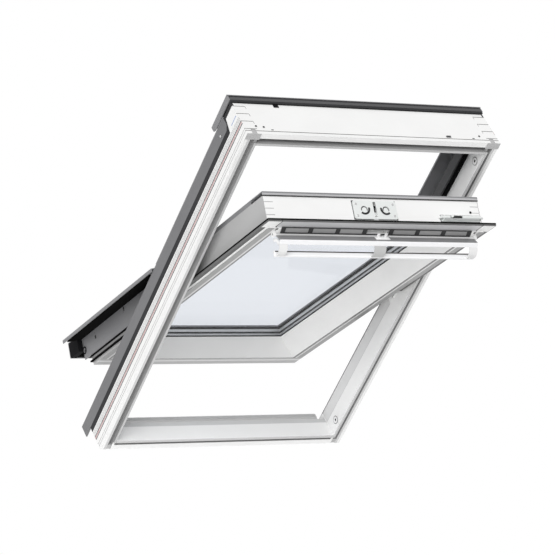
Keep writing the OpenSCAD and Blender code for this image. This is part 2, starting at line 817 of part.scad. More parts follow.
module bottom_rail() {
  color(white) sash_pose() difference() {
    across(-sash_x, sash_x) polygon([
      [room_y, bottom_z], [sash_d, bottom_z], [sash_d, bottom_rebate_z], [seat_y, bottom_rebate_z],
      [seat_y, bottom_z + bottom_seat_w], [room_y, bottom_z + bottom_room_w]
    ]);
    for (s = [-1, 1]) stile_bar(s);
  }
}

module pane(y) box([-pane_x, y, pane_bottom], [pane_x, y + pane_t, pane_top]);
module inner_pane() color(glass) sash_pose() pane(pane_y);
module outer_pane() color(glass) sash_pose() pane(outer_y);

// Closed ring in the glass plane, set in from the panes' edge
module glass_ring(y0, y1, out, width) {
  difference() {
    box([-pane_x + out, y0, pane_bottom + out], [pane_x - out, y1, pane_top - out]);
    box([-pane_x + out + width, y0 - 1, pane_bottom + out + width],
      [pane_x - out - width, y1 + 1, pane_top - out - width]);
  }
}
module glass_spacer() color(steel) sash_pose() glass_ring(cavity_y, outer_y, spacer_in, spacer_w);
module inner_gasket() {
  color(black) sash_pose() glass_ring(seat_y, pane_y, 1, stile_seat_w - stile_rebate_w - pane_gap - 2);
}
module outer_gasket() {
  color(black) sash_pose() glass_ring(glass_top_y, glass_top_y + outer_gasket_t, 1, sash_clad_lap);
}

// Seal on the weather face of the flange, with legs on the stiles' sides
module sash_seal() {
  y0 = flange_y + flange_t;
  color(black) sash_pose() union() {
    for (s = [-1, 1]) on_side(s)
      box([flange_x - sash_seal_w, y0, hinge_zone + 2], [flange_x + 0.5, y0 + sash_seal_t, flange_z + 0.5]);
    box([-flange_x - 0.5, y0, flange_z - sash_seal_w], [flange_x + 0.5, y0 + sash_seal_t, flange_z + 0.5]);
    for (s = [-1, 1]) on_side(s) {
      box([sash_x, y0, hinge_zone + 2], [sash_x + 2, y0 + side_seal_w, top_z]);
      box([sash_x, y0, hinge_zone + 2], [flange_x, y0 + 1, top_z]);
    }
  }
}

// Seal round the lower half, on the stiles' sides and under the bottom rail
module lower_sash_seal() {
  y0 = flange_y + flange_t;
  out_x = sash_x + low_seal_h;
  color(black) sash_pose() union() {
    for (s = [-1, 1]) on_side(s)
      box([sash_x, y0, bottom_z - low_seal_h], [out_x, y0 + sash_seal_t, -hinge_zone - 2]);
    for (s = [-1, 1]) on_side(s)
      up(bottom_z, -hinge_zone - 2) polygon([
        [sash_x, y0], [sash_x, y0 + low_seal_w], [sash_x + 3.5, y0 + low_seal_w],
        [sash_x + 3.5, y0 + low_seal_w - 4], [sash_x + 1.2, y0 + low_seal_w - 4], [sash_x + 1.2, y0]
      ]);
    box([-out_x, y0, bottom_z - low_seal_h], [out_x, y0 + sash_seal_t, bottom_z]);
  }
}

// Folded section over a sash edge: outer leg on the sash, inner leg on the glass gasket
module fold(outer, inner) {
  gasket_y = glass_top_y + outer_gasket_t;
  polygon([
    [outer, sash_d], [outer, sash_clad_y], [inner, sash_clad_y], [inner, gasket_y],
    [inner + sheet_t, gasket_y], [inner + sheet_t, sash_clad_y - sheet_t],
    [outer - sheet_t, sash_clad_y - sheet_t], [outer - sheet_t, sash_d]
  ]);
}

// Top cladding: a fold whose foot lies on the top rail
module top_cladding() {
  inner = pane_top - sash_clad_lap;
  outer = top_z + clad_lip;
  gasket_y = glass_top_y + outer_gasket_t;
  color(grey) sash_pose() across(-sash_x, sash_x) polygon([
    [sash_d, top_z - 6], [sash_d, outer], [sash_clad_y, outer], [sash_clad_y, inner], [gasket_y, inner],
    [gasket_y, inner + sheet_t], [sash_clad_y - sheet_t, inner + sheet_t],
    [sash_clad_y - sheet_t, outer - sheet_t], [sash_d + sheet_t, outer - sheet_t],
    [sash_d + sheet_t, top_z - 6]
  ]);
}

module upper_cladding(side) {
  color(grey) sash_pose() on_side(side)
    up(-hinge_zone + 4, pane_top - sash_clad_lap - 0.5) fold(sash_x, clad_inner_x);
}
module left_upper_cladding() upper_cladding(-1);
module right_upper_cladding() upper_cladding(1);

// Lower cover: fold over the stile, side plate down the sash, sloping sheet and turned-down edge
module lower_cover(side) {
  edge_in = lip_x - sheet_t;
  color(grey) sash_pose() on_side(side) difference() {
    union() {
      up(bottom_z - plate_tail, -hinge_zone) union() {
        fold(plate_x, clad_inner_x);
        translate([sash_x, sash_d - 1]) square([plate_t, 2]);
      }
      across(sash_x, plate_x) polygon([
        [plate_y, bottom_z - plate_tail], [plate_y, -hinge_zone], [sash_clad_y - 1, -hinge_zone],
        [sash_clad_y - 1, bottom_z - plate_tail]
      ]);
      up(bottom_z - lip_tail, -cover_end_gap) polygon([
        [sash_x + 0.5, sash_clad_y], [plate_x, sash_clad_y], [lip_x, lip_y + sheet_t],
        [lip_x, lip_y + sheet_t - lip_h], [edge_in, lip_y + sheet_t - lip_h], [edge_in, lip_y],
        [plate_x, sash_clad_y - sheet_t], [sash_x + 0.5, sash_clad_y - sheet_t]
      ]);
    }
    box([0, 0, -hinge_zone], [hinge_notch_x, pivot_y + 60, 0]);
    up(bottom_z - plate_tail - 20, bottom_z - plate_tail) square([hinge_notch_x, pivot_y + 60]);
    bar_x(drain_r, sash_x - 1, plate_x + 1, [sash_d - 28, bottom_z - plate_tail + 6]);
    for (z = [bottom_z * 0.57, bottom_z * 0.92])
      box([sash_x - 1, sash_d - 14, z - 3], [plate_x + 1, sash_d - 4, z]);
    box([0, seat_y - 1, bottom_z - plate_tail - 1], [sash_x - eps, pivot_y + 60, bottom_z]);
  }
}
module left_lower_cover() lower_cover(-1);
module right_lower_cover() lower_cover(1);

// Foam strips under the lower covers' sloping sheets
module cover_foam() {
  under = sash_clad_y - sheet_t;
  x1 = half_w - clad_t - 3;
  y1 = under - (under - lip_y) * (x1 - plate_x) / (lip_x - sheet_t - plate_x);
  color(black) sash_pose() for (s = [-1, 1]) on_side(s) up(bottom_z - plate_tail + 2, -hinge_zone - 2)
    polygon([[plate_x, under], [x1, y1], [x1, y1 - foam_t], [plate_x, under - foam_t]]);
}

// Foam strip behind the bottom cover's apron
module apron_foam() {
  low = bottom_z - bottom_cover_l + sheet_t;
  color(black) sash_pose()
    box([-sash_x, bottom_cover_y + 3, low], [sash_x, sash_clad_y - sheet_t, low + foam_t]);
}

// Bottom cover: sheet over the glass edge and the bottom rail, down to an apron past the frame's sill
module bottom_cover() {
  inner = pane_bottom + sash_clad_lap;
  gasket_y = glass_top_y + outer_gasket_t;
  low = bottom_z - bottom_cover_l;
  mid_x = clad_inner_x - 1;
  color(charcoal) sash_pose() union() {
    across(-mid_x, mid_x) polygon([
      [sash_clad_y, inner], [sash_clad_y, bottom_z - 1], [sash_clad_y - sheet_t, bottom_z - 1],
      [sash_clad_y - sheet_t, bottom_z + 8],
      [sash_d, bottom_z + 8], [sash_d, bottom_z + 8 + sheet_t],
      [sash_clad_y - sheet_t, bottom_z + 8 + sheet_t], [sash_clad_y - sheet_t, inner - sheet_t],
      [gasket_y, inner - sheet_t], [gasket_y, inner]
    ]);
    box([-sash_x + 0.5, sash_clad_y - sheet_t, low + 5], [sash_x - 0.5, sash_clad_y, bottom_z - 0.5]);
    across(-sash_x - bottom_cover_over, sash_x + bottom_cover_over) polygon([
      [sash_clad_y, bottom_z - plate_tail - 0.5], [sash_clad_y, low + 2], [sash_clad_y - 2, low],
      [bottom_cover_y, low], [bottom_cover_y, low + sheet_t],
      [sash_clad_y - sheet_t, low + sheet_t], [sash_clad_y - sheet_t, bottom_z - plate_tail - 0.5]
    ]);
  }
}

module end_cap(side) {
  x1 = sash_x + bottom_cover_over;
  low = bottom_z - bottom_cover_l + sheet_t;
  color(black) sash_pose() on_side(side) across(sash_x + 0.5, x1) polygon([
    [bottom_cover_y, low], [sash_clad_y - sheet_t, low],
    [sash_clad_y - sheet_t, bottom_z - plate_tail - 0.5], [bottom_cover_y, bottom_z - plate_tail - 0.5]
  ]);
}
module left_end_cap() end_cap(-1);
module right_end_cap() end_cap(1);

// Sash half of the pivot hinge: a plate on the stile with a half disc in the frame half's ring
module hinge_sash(side) {
  color(steel) sash_pose() on_side(side) union() {
    half_disc(disc_r, disc_x0 - hinge_side_gap - 1, disc_x1);
    box([sash_x, sash_d - 34, -hinge_zone + 6], [sash_x + sash_plate_t, sash_d, hinge_zone - 6]);
  }
}
module left_hinge_sash() hinge_sash(-1);
module right_hinge_sash() hinge_sash(1);

// Grille on the vent slope, with a row of long openings
module vent_grille() {
  slope = atan2(vent_top_z - vent_z, flange_y - vent_y);
  width = norm([vent_top_z - vent_z, flange_y - vent_y]);
  reach = flap_half - grille_in;
  pitch = (2 * reach - grille_bar) / grille_n;
  color(black) sash_pose() translate([0, vent_y, vent_z]) rotate([slope, 0, 0]) difference() {
    box([-reach, 1, filter_t], [reach, width - 1, filter_t + grille_t]);
    for (i = [0 : grille_n - 1])
      box([-reach + grille_bar + i * pitch, 1 + grille_rim, -1],
        [-reach + (i + 1) * pitch, width - 1 - grille_rim, filter_t + grille_t + 1]);
  }
}

// Filter strip behind the grille, open at the keeper's pocket
module vent_filter() {
  slope = atan2(vent_top_z - vent_z, flange_y - vent_y);
  width = norm([vent_top_z - vent_z, flange_y - vent_y]);
  reach = flap_half - grille_in;
  color(grey) sash_pose() translate([0, vent_y, vent_z]) rotate([slope, 0, 0]) difference() {
    box([-reach, 1, 0], [reach, width - 1, filter_t]);
    box([-keeper_half, 3, -1], [keeper_half, width - 3, filter_t + 1]);
  }
}

// Bearings for the flap's trunnions, seated on the stiles' room faces
module flap_bearings() {
  wall = flap_pin_r + bearing_wall;
  color(white) sash_pose() for (s = [-1, 1]) on_side(s) difference() {
    box([bearing_in_x, flap_y - wall, flap_pivot[1] - wall],
      [bearing_in_x + bearing_w, room_y, flap_pivot[1] + wall]);
    bar_x(flap_pin_r + flap_pin_clear, bearing_in_x - 1, bearing_in_x + bearing_w + 1, flap_pivot);
  }
}

// Lock plate with two curved keyholes, a slot for the latch and the two lugs that carry it
module lock_plate() {
  mid_y = lock_y + lock_w / 2;
  lug_in = latch_half + latch_gap;
  color(steel) sash_pose() difference() {
    union() {
      translate([0, mid_y, top_z]) linear_extrude(lock_t) difference() {
        rounded(lock_l, lock_w, 5);
        translate([0, 1.25]) square([2 * lug_in, lock_w - 7.5], center = true);
      }
      for (s = [-1, 1]) on_side(s)
        box([lug_in, latch_pivot[0] - 5, latch_pivot[1] - 5],
          [lug_in + lug_t, latch_pivot[0] + 5, top_z + 1]);
    }
    bar_x(trunnion_r + trunnion_clear, -slot_half - 1, slot_half + 1, latch_pivot);
    for (s = [-1, 1]) translate([s * lock_l / 4, mid_y, top_z - 1]) difference() {
      cylinder(r = 9, h = lock_t + 2);
      translate([0, 0, -1]) cylinder(r = 6, h = lock_t + 4);
      translate([-20, -20, -1]) cube([40, 18, lock_t + 4]);
    }
  }
}

module lock_screws() {
  mid_y = lock_y + lock_w / 2;
  color(steel) sash_pose() for (s = [-1, 1], t = [-1, 1])
    translate([s * (lock_l / 2 - 8), mid_y + t * (lock_w / 2 - 8), lock_face_z])
      cylinder(r = screw_r, h = screw_h);
}

// Latch: an arm on two trunnions with an upturned nose
module lock_latch() {
  p = latch_pivot;
  color(steel) sash_pose() union() {
    across(-latch_half, latch_half) polygon([
      [p[0] - 3.5, p[1] - 3.5], [p[0] - 3.5, p[1] + 3.5], [p[0] + latch_l - 5, p[1] + 2.5],
      [p[0] + latch_l - 4, p[1] + 6], [p[0] + latch_l, p[1] + 6], [p[0] + latch_l, p[1] + 2.5 - latch_t],
      [p[0] + 6, p[1] - 3.5]
    ]);
    bar_x(trunnion_r, -slot_half + latch_gap, slot_half - latch_gap, p);
  }
}

// Barrel bolt's housing: a foot on the top rail, two ears and a slotted barrel
module bolt_housing() {
  x0 = bolt_house_x;
  x1 = x0 + bolt_house_l;
  r = bolt_house_w / 2 - 2;
  color(steel) sash_pose() difference() {
    union() {
      box([x0, bolt_y - bolt_house_w / 2, top_z], [x1, bolt_y + bolt_house_w / 2, top_z + 1.5]);
      bar_x(r, x0 + 4, x1 - 4, [bolt_y, bolt_z]);
      box([x0 + 4, bolt_y - r, top_z + 0.5], [x1 - 4, bolt_y + r, bolt_z]);
    }
    bar_x(bolt_r + bolt_clear, x0 - 1, x1 + 1, [bolt_y, bolt_z]);
    box([knob_x - 3.5, bolt_y - 3, bolt_z], [knob_x + bolt_throw + 3.5, bolt_y + 3, bolt_z + 20]);
  }
}

module barrel_bolt() {
  color(steel) sash_pose() union() {
    bar_x(bolt_r, bolt_tail_x, bolt_tip_x, [bolt_y, bolt_z]);
    translate([knob_x, bolt_y, bolt_z]) cylinder(r = 2.2, h = 8);
    translate([knob_x, bolt_y, bolt_z + 6]) cylinder(r = 3, h = 3.5);
  }
}

// Flap: a plate from its pivot to its edge, with a trunnion at each end
module vent_flap() {
  p = flap_pivot;
  color(grey) sash_pose() union() {
    across(-flap_half, flap_half) polygon([
      at(p, -1, 0), at(p, 2, -1.5), at(p, flap_w - 1, -1.5), at(p, flap_w - 1, flap_t - 1.5),
      at(p, 0, flap_t - 1)
    ]);
    bar_x(flap_pin_r, -bearing_in_x - bearing_w + 1, bearing_in_x + bearing_w - 1, p);
  }
}

// Turned edge on the flap's free side
module flap_edge() {
  p = flap_pivot;
  color(white) sash_pose() across(-flap_half, flap_half) polygon([
    at(p, flap_w - 1, -1.5), at(p, flap_w, -1.5), at(p, flap_w + 2, 0.5), at(p, flap_w + 2, flap_edge),
    at(p, flap_w - 1, flap_edge), at(p, flap_w - 1, flap_t - 1.5)
  ]);
}

// Curved wall from the flap's edge to the control bar, in (Y, Z)
module horn_outline() {
  foot = at(flap_pivot, flap_w - 1, flap_edge);
  land = bar_pos + [-bar_h / 2 + bar_t / 2, bar_t / 2];
  mid = (foot + land) / 2;
  chord = (land - foot) / norm(land - foot);
  out = [chord[1], -chord[0]];
  r = norm([norm(land - foot) / 2, horn_bulge]);
  difference() {
    intersection() {
      translate(mid - horn_bulge * out) circle(r = r + horn_t);
      polygon([
        foot, at(flap_pivot, flap_w + 12, flap_edge), land + [-30, 10], land + [-30, 0], land
      ]);
    }
    translate(mid - horn_bulge * out) circle(r = r);
  }
}

module flap_end_caps() {
  color(white) sash_pose() for (s = [-1, 1]) on_side(s)
    across(flap_half - horn_w, flap_half) horn_outline();
}

module bar_brackets() {
  color(white) sash_pose() across(-bracket_w / 2, bracket_w / 2) horn_outline();
}

module control_bar() {
  reach = flap_half;
  r = bar_t / 2;
  color(white) sash_pose() across(-reach, reach) translate(bar_pos) union() {
    square([bar_h - bar_t, bar_t], center = true);
    for (s = [-1, 1]) translate([s * (bar_h - bar_t) / 2, 0]) circle(r = r);
  }
}

head();
sill();
left_jamb();
right_jamb();
corner_keys();
jamb_stops();
left_side_seal();
right_side_seal();
left_side_cladding();
right_side_cladding();
left_upper_cover();
right_upper_cover();
top_cover();
hood_strip();
sill_cover();
sill_seal();
upper_frame_seal();
striker_plate();
bolt_bushings();
left_hinge_frame();
right_hinge_frame();
hinge_screws();
top_rail();
bottom_rail();
left_stile();
right_stile();
top_flange();
inner_pane();
outer_pane();
glass_spacer();
inner_gasket();
outer_gasket();
sash_seal();
lower_sash_seal();
top_cladding();
left_upper_cladding();
right_upper_cladding();
left_lower_cover();
right_lower_cover();
cover_foam();
bottom_cover();
apron_foam();
left_end_cap();
right_end_cap();
left_hinge_sash();
right_hinge_sash();
vent_grille();
vent_filter();
flap_bearings();
lock_plate();
lock_screws();
bolt_housing();
vent_flap();
flap_edge();
flap_end_caps();
bar_brackets();
control_bar();
lock_latch();
barrel_bolt();
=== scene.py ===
"""Looks of a centre-pivot roof window: finishes, small fittings, studio light and camera."""

from __future__ import annotations

import logging
import math
from dataclasses import dataclass
from enum import Enum

import bpy
from mathutils import Matrix, Vector


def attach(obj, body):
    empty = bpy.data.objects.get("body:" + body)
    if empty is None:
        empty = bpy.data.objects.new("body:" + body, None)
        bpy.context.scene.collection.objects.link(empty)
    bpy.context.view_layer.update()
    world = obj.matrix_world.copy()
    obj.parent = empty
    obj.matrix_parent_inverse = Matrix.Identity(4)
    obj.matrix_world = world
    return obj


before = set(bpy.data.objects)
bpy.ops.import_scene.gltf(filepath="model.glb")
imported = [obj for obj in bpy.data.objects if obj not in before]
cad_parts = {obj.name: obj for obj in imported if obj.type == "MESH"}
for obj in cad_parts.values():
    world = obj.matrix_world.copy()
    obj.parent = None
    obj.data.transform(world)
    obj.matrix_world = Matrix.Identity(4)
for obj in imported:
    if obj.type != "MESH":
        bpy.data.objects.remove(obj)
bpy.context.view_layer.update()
LOG = logging.getLogger("roof_window")

OPEN_ANGLE = 25.4
PIVOT_Y = 0.120
FLAP_PIVOT = (0.027, 0.4115)
FLAP_RISE = 37.0

Point = tuple[float, float, float]
Colour = tuple[float, float, float]
Span = tuple[float, float]
Spot = tuple[float, float]
# A patch is its lowest X and Y, then its highest X and Y.
Patch = tuple[float, float, float, float]
Socket = bpy.types.NodeSocket

NOISE_SPAN: Span = (0.3, 0.7)
PATCH_NOISE: tuple[Point, float] = ((9.0, 9.0, 9.0), 3.0)
FILM_NOISE: tuple[Point, float] = ((6.0, 6.0, 6.0), 2.0)
DISC_SIDES = 28
DRIVE_RIM = 0.5
FACING = 0.9
SAME_LEVEL = 1e-5
SHARP_EDGE = 40.0
SMOOTH_EDGE = 35.0


class Grain(Enum):
    """Fine surface of a finish."""

    PEEL = "soft ripple of sprayed lacquer"
    POWDER = "fine grain of powder coat"
    DRAWN = "drawn lines of plated metal"
    MOULDED = "faint mottle of moulded plastic"
    RUBBED = "matt skin of an extruded seal"


@dataclass(frozen=True)
class GrainSize:
    """How a grain is made.

    Args:
        scale: noise scale per metre along X, Y and Z.
        detail: octaves of the noise.
        height: depth of the bump in metres.
        strength: strength of the bump.
    """

    scale: Point
    detail: float
    height: float
    strength: float


GRAINS: dict[Grain, GrainSize] = {
    Grain.PEEL: GrainSize((320.0, 320.0, 320.0), 2.0, 0.0002, 0.10),
    Grain.POWDER: GrainSize((1400.0, 1400.0, 1400.0), 3.0, 0.0003, 0.22),
    Grain.DRAWN: GrainSize((60.0, 2400.0, 2400.0), 2.0, 0.0002, 0.18),
    Grain.MOULDED: GrainSize((700.0, 700.0, 700.0), 2.0, 0.0002, 0.14),
    Grain.RUBBED: GrainSize((900.0, 900.0, 900.0), 4.0, 0.0004, 0.30),
}


class Nodes:
    """Short ways to add and join shader nodes of one material."""

    def __init__(self, name: str) -> None:
        """Starts a new material with an output and a principled shader."""
        self.material = bpy.data.materials.new(name)
        self.material.use_nodes = True
        self.tree = self.material.node_tree
        self.tree.nodes.clear()
        self.output = self.add("ShaderNodeOutputMaterial")
        self.shader = self.add("ShaderNodeBsdfPrincipled")
        self.join(self.shader.outputs["BSDF"], self.output.inputs["Surface"])

    def add(self, kind: str) -> bpy.types.Node:
        """Adds a node of that kind."""
        return self.tree.nodes.new(kind)

    def join(self, source: Socket, target: Socket) -> None:
        """Links two sockets."""
        self.tree.links.new(source, target)

    def math(self, kind: str, first: Socket | float, second: Socket | float = 0.0) -> Socket:
        """Adds a math node.

        Args:
            kind: the operation's name.
            first: a number or a socket.
            second: a number or a socket.

        Returns:
            The result's socket.
        """
        made = self.add("ShaderNodeMath")
        made.operation = kind
        for socket, value in zip(made.inputs, (first, second)):
            if isinstance(value, (int, float)):
                socket.default_value = value
            else:
                self.join(value, socket)
        return made.outputs[0]

    def place(self) -> Socket:
        """Returns the socket of the piece's own coordinates."""
        return self.add("ShaderNodeTexCoord").outputs["Object"]

    def noise(self, scale: Point, detail: float) -> Socket:
        """Adds noise on the piece's coordinates.

        Args:
            scale: noise scale per metre along X, Y and Z.
            detail: octaves of the noise.

        Returns:
            The socket of the noise value.
        """
        mapping = self.add("ShaderNodeMapping")
        mapping.inputs["Scale"].default_value = scale
        self.join(self.place(), mapping.inputs["Vector"])
        made = self.add("ShaderNodeTexNoise")
        made.inputs["Scale"].default_value = 1.0
        made.inputs["Detail"].default_value = detail
        self.join(mapping.outputs["Vector"], made.inputs["Vector"])
        return made.outputs["Fac"]

    def mix(self, mask: Socket, low: Socket | Colour, high: Socket | Colour) -> Socket:
        """Mixes two colours by a mask.

        Args:
            mask: socket from 0 to 1.
            low: colour or socket at 0.
            high: colour or socket at 1.

        Returns:
            The socket of the mixed colour.
        """
        made = self.add("ShaderNodeMix")
        made.data_type = "RGBA"
        self.join(mask, made.inputs["Factor"])
        for key, value in (("A", low), ("B", high)):
            socket = [s for s in made.inputs if s.name == key and s.type == "RGBA"][0]
            if isinstance(value, tuple):
                socket.default_value = (*value, 1.0)
            else:
                self.join(value, socket)
        return [s for s in made.outputs if s.type == "RGBA"][0]

    def span(self, value: Socket, low: float, high: float) -> Socket:
        """Maps a noise value from its usual span to a range."""
        made = self.add("ShaderNodeMapRange")
        made.inputs["From Min"].default_value = NOISE_SPAN[0]
        made.inputs["From Max"].default_value = NOISE_SPAN[1]
        made.inputs["To Min"].default_value = low
        made.inputs["To Max"].default_value = high
        self.join(value, made.inputs["Value"])
        return made.outputs["Result"]


@dataclass(frozen=True)
class Finish:
    """One finish of the window.

    Args:
        name: the material's name.
        colour: base colour in linear light.
        shade: colour of the darker patches of the same finish.
        grain: fine surface.
        rough: lowest and highest roughness.
        metallic: share of metal.
        coat: clear coat weight.
        specular: specular level.
    """

    name: str
    colour: Colour
    shade: Colour
    grain: Grain
    rough: Span
    metallic: float = 0.0
    coat: float = 0.0
    specular: float = 0.5

    def marked(self, name: str, marks: tuple[Mark, ...], turn: float = 0.0) -> MarkedFinish:
        """Returns the same finish under another name, with marks."""
        base = (self.colour, self.shade, self.grain, self.rough, self.metallic, self.coat, self.specular)
        return MarkedFinish(name, *base, marks, turn)

    def colours(self, nodes: Nodes) -> Socket:
        """Returns the socket of the finish's colour, with its slow patches."""
        patch = nodes.span(nodes.noise(*PATCH_NOISE), 0.0, 1.0)
        return nodes.mix(patch, self.colour, self.shade)

    def material(self) -> bpy.types.Material:
        """Returns the finish's material, made once."""
        found = bpy.data.materials.get(self.name)
        if found:
            return found
        nodes = Nodes(self.name)
        size = GRAINS[self.grain]
        nodes.join(self.colours(nodes), nodes.shader.inputs["Base Color"])
        grain = nodes.noise(size.scale, size.detail)
        nodes.join(nodes.span(grain, *self.rough), nodes.shader.inputs["Roughness"])
        bump = nodes.add("ShaderNodeBump")
        bump.inputs["Distance"].default_value = size.height
        bump.inputs["Strength"].default_value = size.strength
        nodes.join(grain, bump.inputs["Height"])
        nodes.join(bump.outputs["Normal"], nodes.shader.inputs["Normal"])
        nodes.shader.inputs["Metallic"].default_value = self.metallic
        nodes.shader.inputs["Coat Weight"].default_value = self.coat
        nodes.shader.inputs["Specular IOR Level"].default_value = self.specular
        return nodes.material


@dataclass(frozen=True)
class Mark:
    """A box inside which a finish takes another colour.

    Args:
        low: lowest corner, with X as the distance from the middle.
        high: highest corner.
        colour: colour inside the box.
    """

    low: Point
    high: Point
    colour: Colour


@dataclass(frozen=True)
class MarkedFinish(Finish):
    """A finish with painted lines and seams, and with painted shade and light: darker grooves, recesses and
    faces that lie in shade, and a pale band as bright as glass.

    Args:
        marks: the marked places.
        turn: turn in degrees from the piece's closed place to its open one.
    """

    marks: tuple[Mark, ...] = ()
    turn: float = 0.0

    def closed(self, nodes: Nodes) -> Socket:
        """Returns the socket of the coordinates in the closed place."""
        if not self.turn:
            return nodes.place()
        back = nodes.add("ShaderNodeVectorRotate")
        back.rotation_type = "X_AXIS"
        back.inputs["Center"].default_value = (0.0, PIVOT_Y, 0.0)
        back.inputs["Angle"].default_value = -math.radians(self.turn)
        nodes.join(nodes.place(), back.inputs["Vector"])
        return back.outputs["Vector"]

    def colours(self, nodes: Nodes) -> Socket:
        """Returns the finish's colour with the marks laid over it."""
        colour = super().colours(nodes)
        split = nodes.add("ShaderNodeSeparateXYZ")
        nodes.join(self.closed(nodes), split.inputs[0])
        reach = nodes.math("ABSOLUTE", split.outputs["X"])
        axes = (reach, split.outputs["Y"], split.outputs["Z"])
        for mark in self.marks:
            mask: Socket | None = None
            for axis, low, high in zip(axes, mark.low, mark.high):
                off = nodes.math("ABSOLUTE", nodes.math("SUBTRACT", axis, (low + high) / 2))
                inside = nodes.math("LESS_THAN", off, (high - low) / 2)
                mask = inside if mask is None else nodes.math("MULTIPLY", mask, inside)
            colour = nodes.mix(mask, colour, mark.colour)
        return colour


@dataclass(frozen=True)
class GlassFinish:
    """Clear pane glass.

    Args:
        name: the material's name.
        colour: tint in linear light.
        rough: lowest and highest roughness.
        ior: refractive index.
    """

    name: str
    colour: Colour
    rough: Span
    ior: float

    def material(self) -> bpy.types.Material:
        """Returns the glass material, made once."""
        found = bpy.data.materials.get(self.name)
        if found:
            return found
        nodes = Nodes(self.name)
        film = nodes.noise(*FILM_NOISE)
        nodes.join(nodes.span(film, *self.rough), nodes.shader.inputs["Roughness"])
        nodes.shader.inputs["Base Color"].default_value = (*self.colour, 1.0)
        nodes.shader.inputs["Transmission Weight"].default_value = 1.0
        nodes.shader.inputs["IOR"].default_value = self.ior
        return nodes.material


def grey(level: float) -> Colour:
    """Returns an even grey."""
    return (level, level, level)


# Colours of painted lines and seams, and of painted shade and light, in linear light.
RED_LINE = (0.47, 0.20, 0.20)
DARK_LINE = (0.045, 0.04, 0.04)
SEAM_LINE = grey(0.26)
RIB_LINE = grey(0.45)
BLUE_LINE = (0.12, 0.22, 0.50)
# Painted shade: the lining groove, the nose's outer side and front, and the lip beside the groove, darker as
# they lie in shade.
GROOVE = grey(0.36)
NOSE_SIDE = grey(0.30)
NOSE_FACE = grey(0.50)
LIP_TONE = grey(0.56)
# Painted shade: the recessed weather half of the jambs' and the sill's inner faces.
STEP_TONE = grey(0.68)
SHEET_LIGHT = (0.42, 0.42, 0.43)
WEB_GREY = grey(0.28)
BAND_GREY = (0.09, 0.09, 0.093)
BLACK_EDGE = grey(0.008)
# The sash's room faces: a dark line painted as the shadow gap at a step, a lighter band, and a grey strip
# painted as shade.
RAIL_LINE = grey(0.38)
RAIL_STRIP = grey(0.44)
RAIL_STEP = grey(0.70)
SEAL_EDGE = grey(0.09)
# Painted shade on the recessed weather half of the sill's inner face.
SILL_TONE = grey(0.56)
FLANGE_FACE = grey(0.02)
# Painted shade on the sash's outer sides: the jamb's shadow on the upper part, and shade on the lower part.
STILE_SIDE = grey(0.42)
STILE_FOOT = grey(0.40)
# The stiles' room faces: a line painted as the shadow gap at a step, a lighter band, and a grey strip painted
# as shade.
STILE_LINE = grey(0.13)
STILE_STEP = grey(0.62)
STILE_STRIP = grey(0.27)
# Painted light: the pale band makes the spacer's far part as bright as the glass in front of it.
PALE_EDGE = grey(0.88)
FLAP_LINE = grey(0.74)

# A mark across the middle or from the nose plane starts a little beyond it.
MIDDLE = -0.001
NOSE = -0.001
JAMB_SIDE: Span = (0.3285, 0.3315)
HEAD_TOP: Span = (0.488, 0.49)
SASH_TOP: Span = (0.424, 0.426)
SASH_ROOM: Span = (0.034, 0.036)
SEAM_HALF = 0.001
SASH_SEAM_HALF = 0.0008


def side_line(y: float, half: float, colour: Colour, low: float = -0.5, high: float = 0.5) -> Mark:
    """Returns a line along the jambs' outer sides."""
    return Mark((JAMB_SIDE[0], y - half, low), (JAMB_SIDE[1], y + half, high), colour)


def seam(y: float) -> Mark:
    """Returns the seam of a corner finger on the head's up-slope face."""
    low = (0.299, y - SEAM_HALF, HEAD_TOP[0])
    return Mark(low, (JAMB_SIDE[1], y + SEAM_HALF, HEAD_TOP[1]), SEAM_LINE)


def seam_end(y: float) -> Mark:
    """Returns the short upright joint at the inner end of a corner finger."""
    return Mark((0.2983, y - 0.008, HEAD_TOP[0]), (0.2997, y, HEAD_TOP[1]), SEAM_LINE)


def sash_seam(y: float) -> Mark:
    """Returns the seam of a corner finger on the sash's top face."""
    low = (0.257, y - SASH_SEAM_HALF, SASH_TOP[0])
    return Mark(low, (0.2815, y + SASH_SEAM_HALF, SASH_TOP[1]), RIB_LINE)


def room_strip(x: Span, z: Span, colour: Colour) -> Mark:
    """Returns a strip on the sash's room face."""
    return Mark((x[0], SASH_ROOM[0], z[0]), (x[1], SASH_ROOM[1], z[1]), colour)
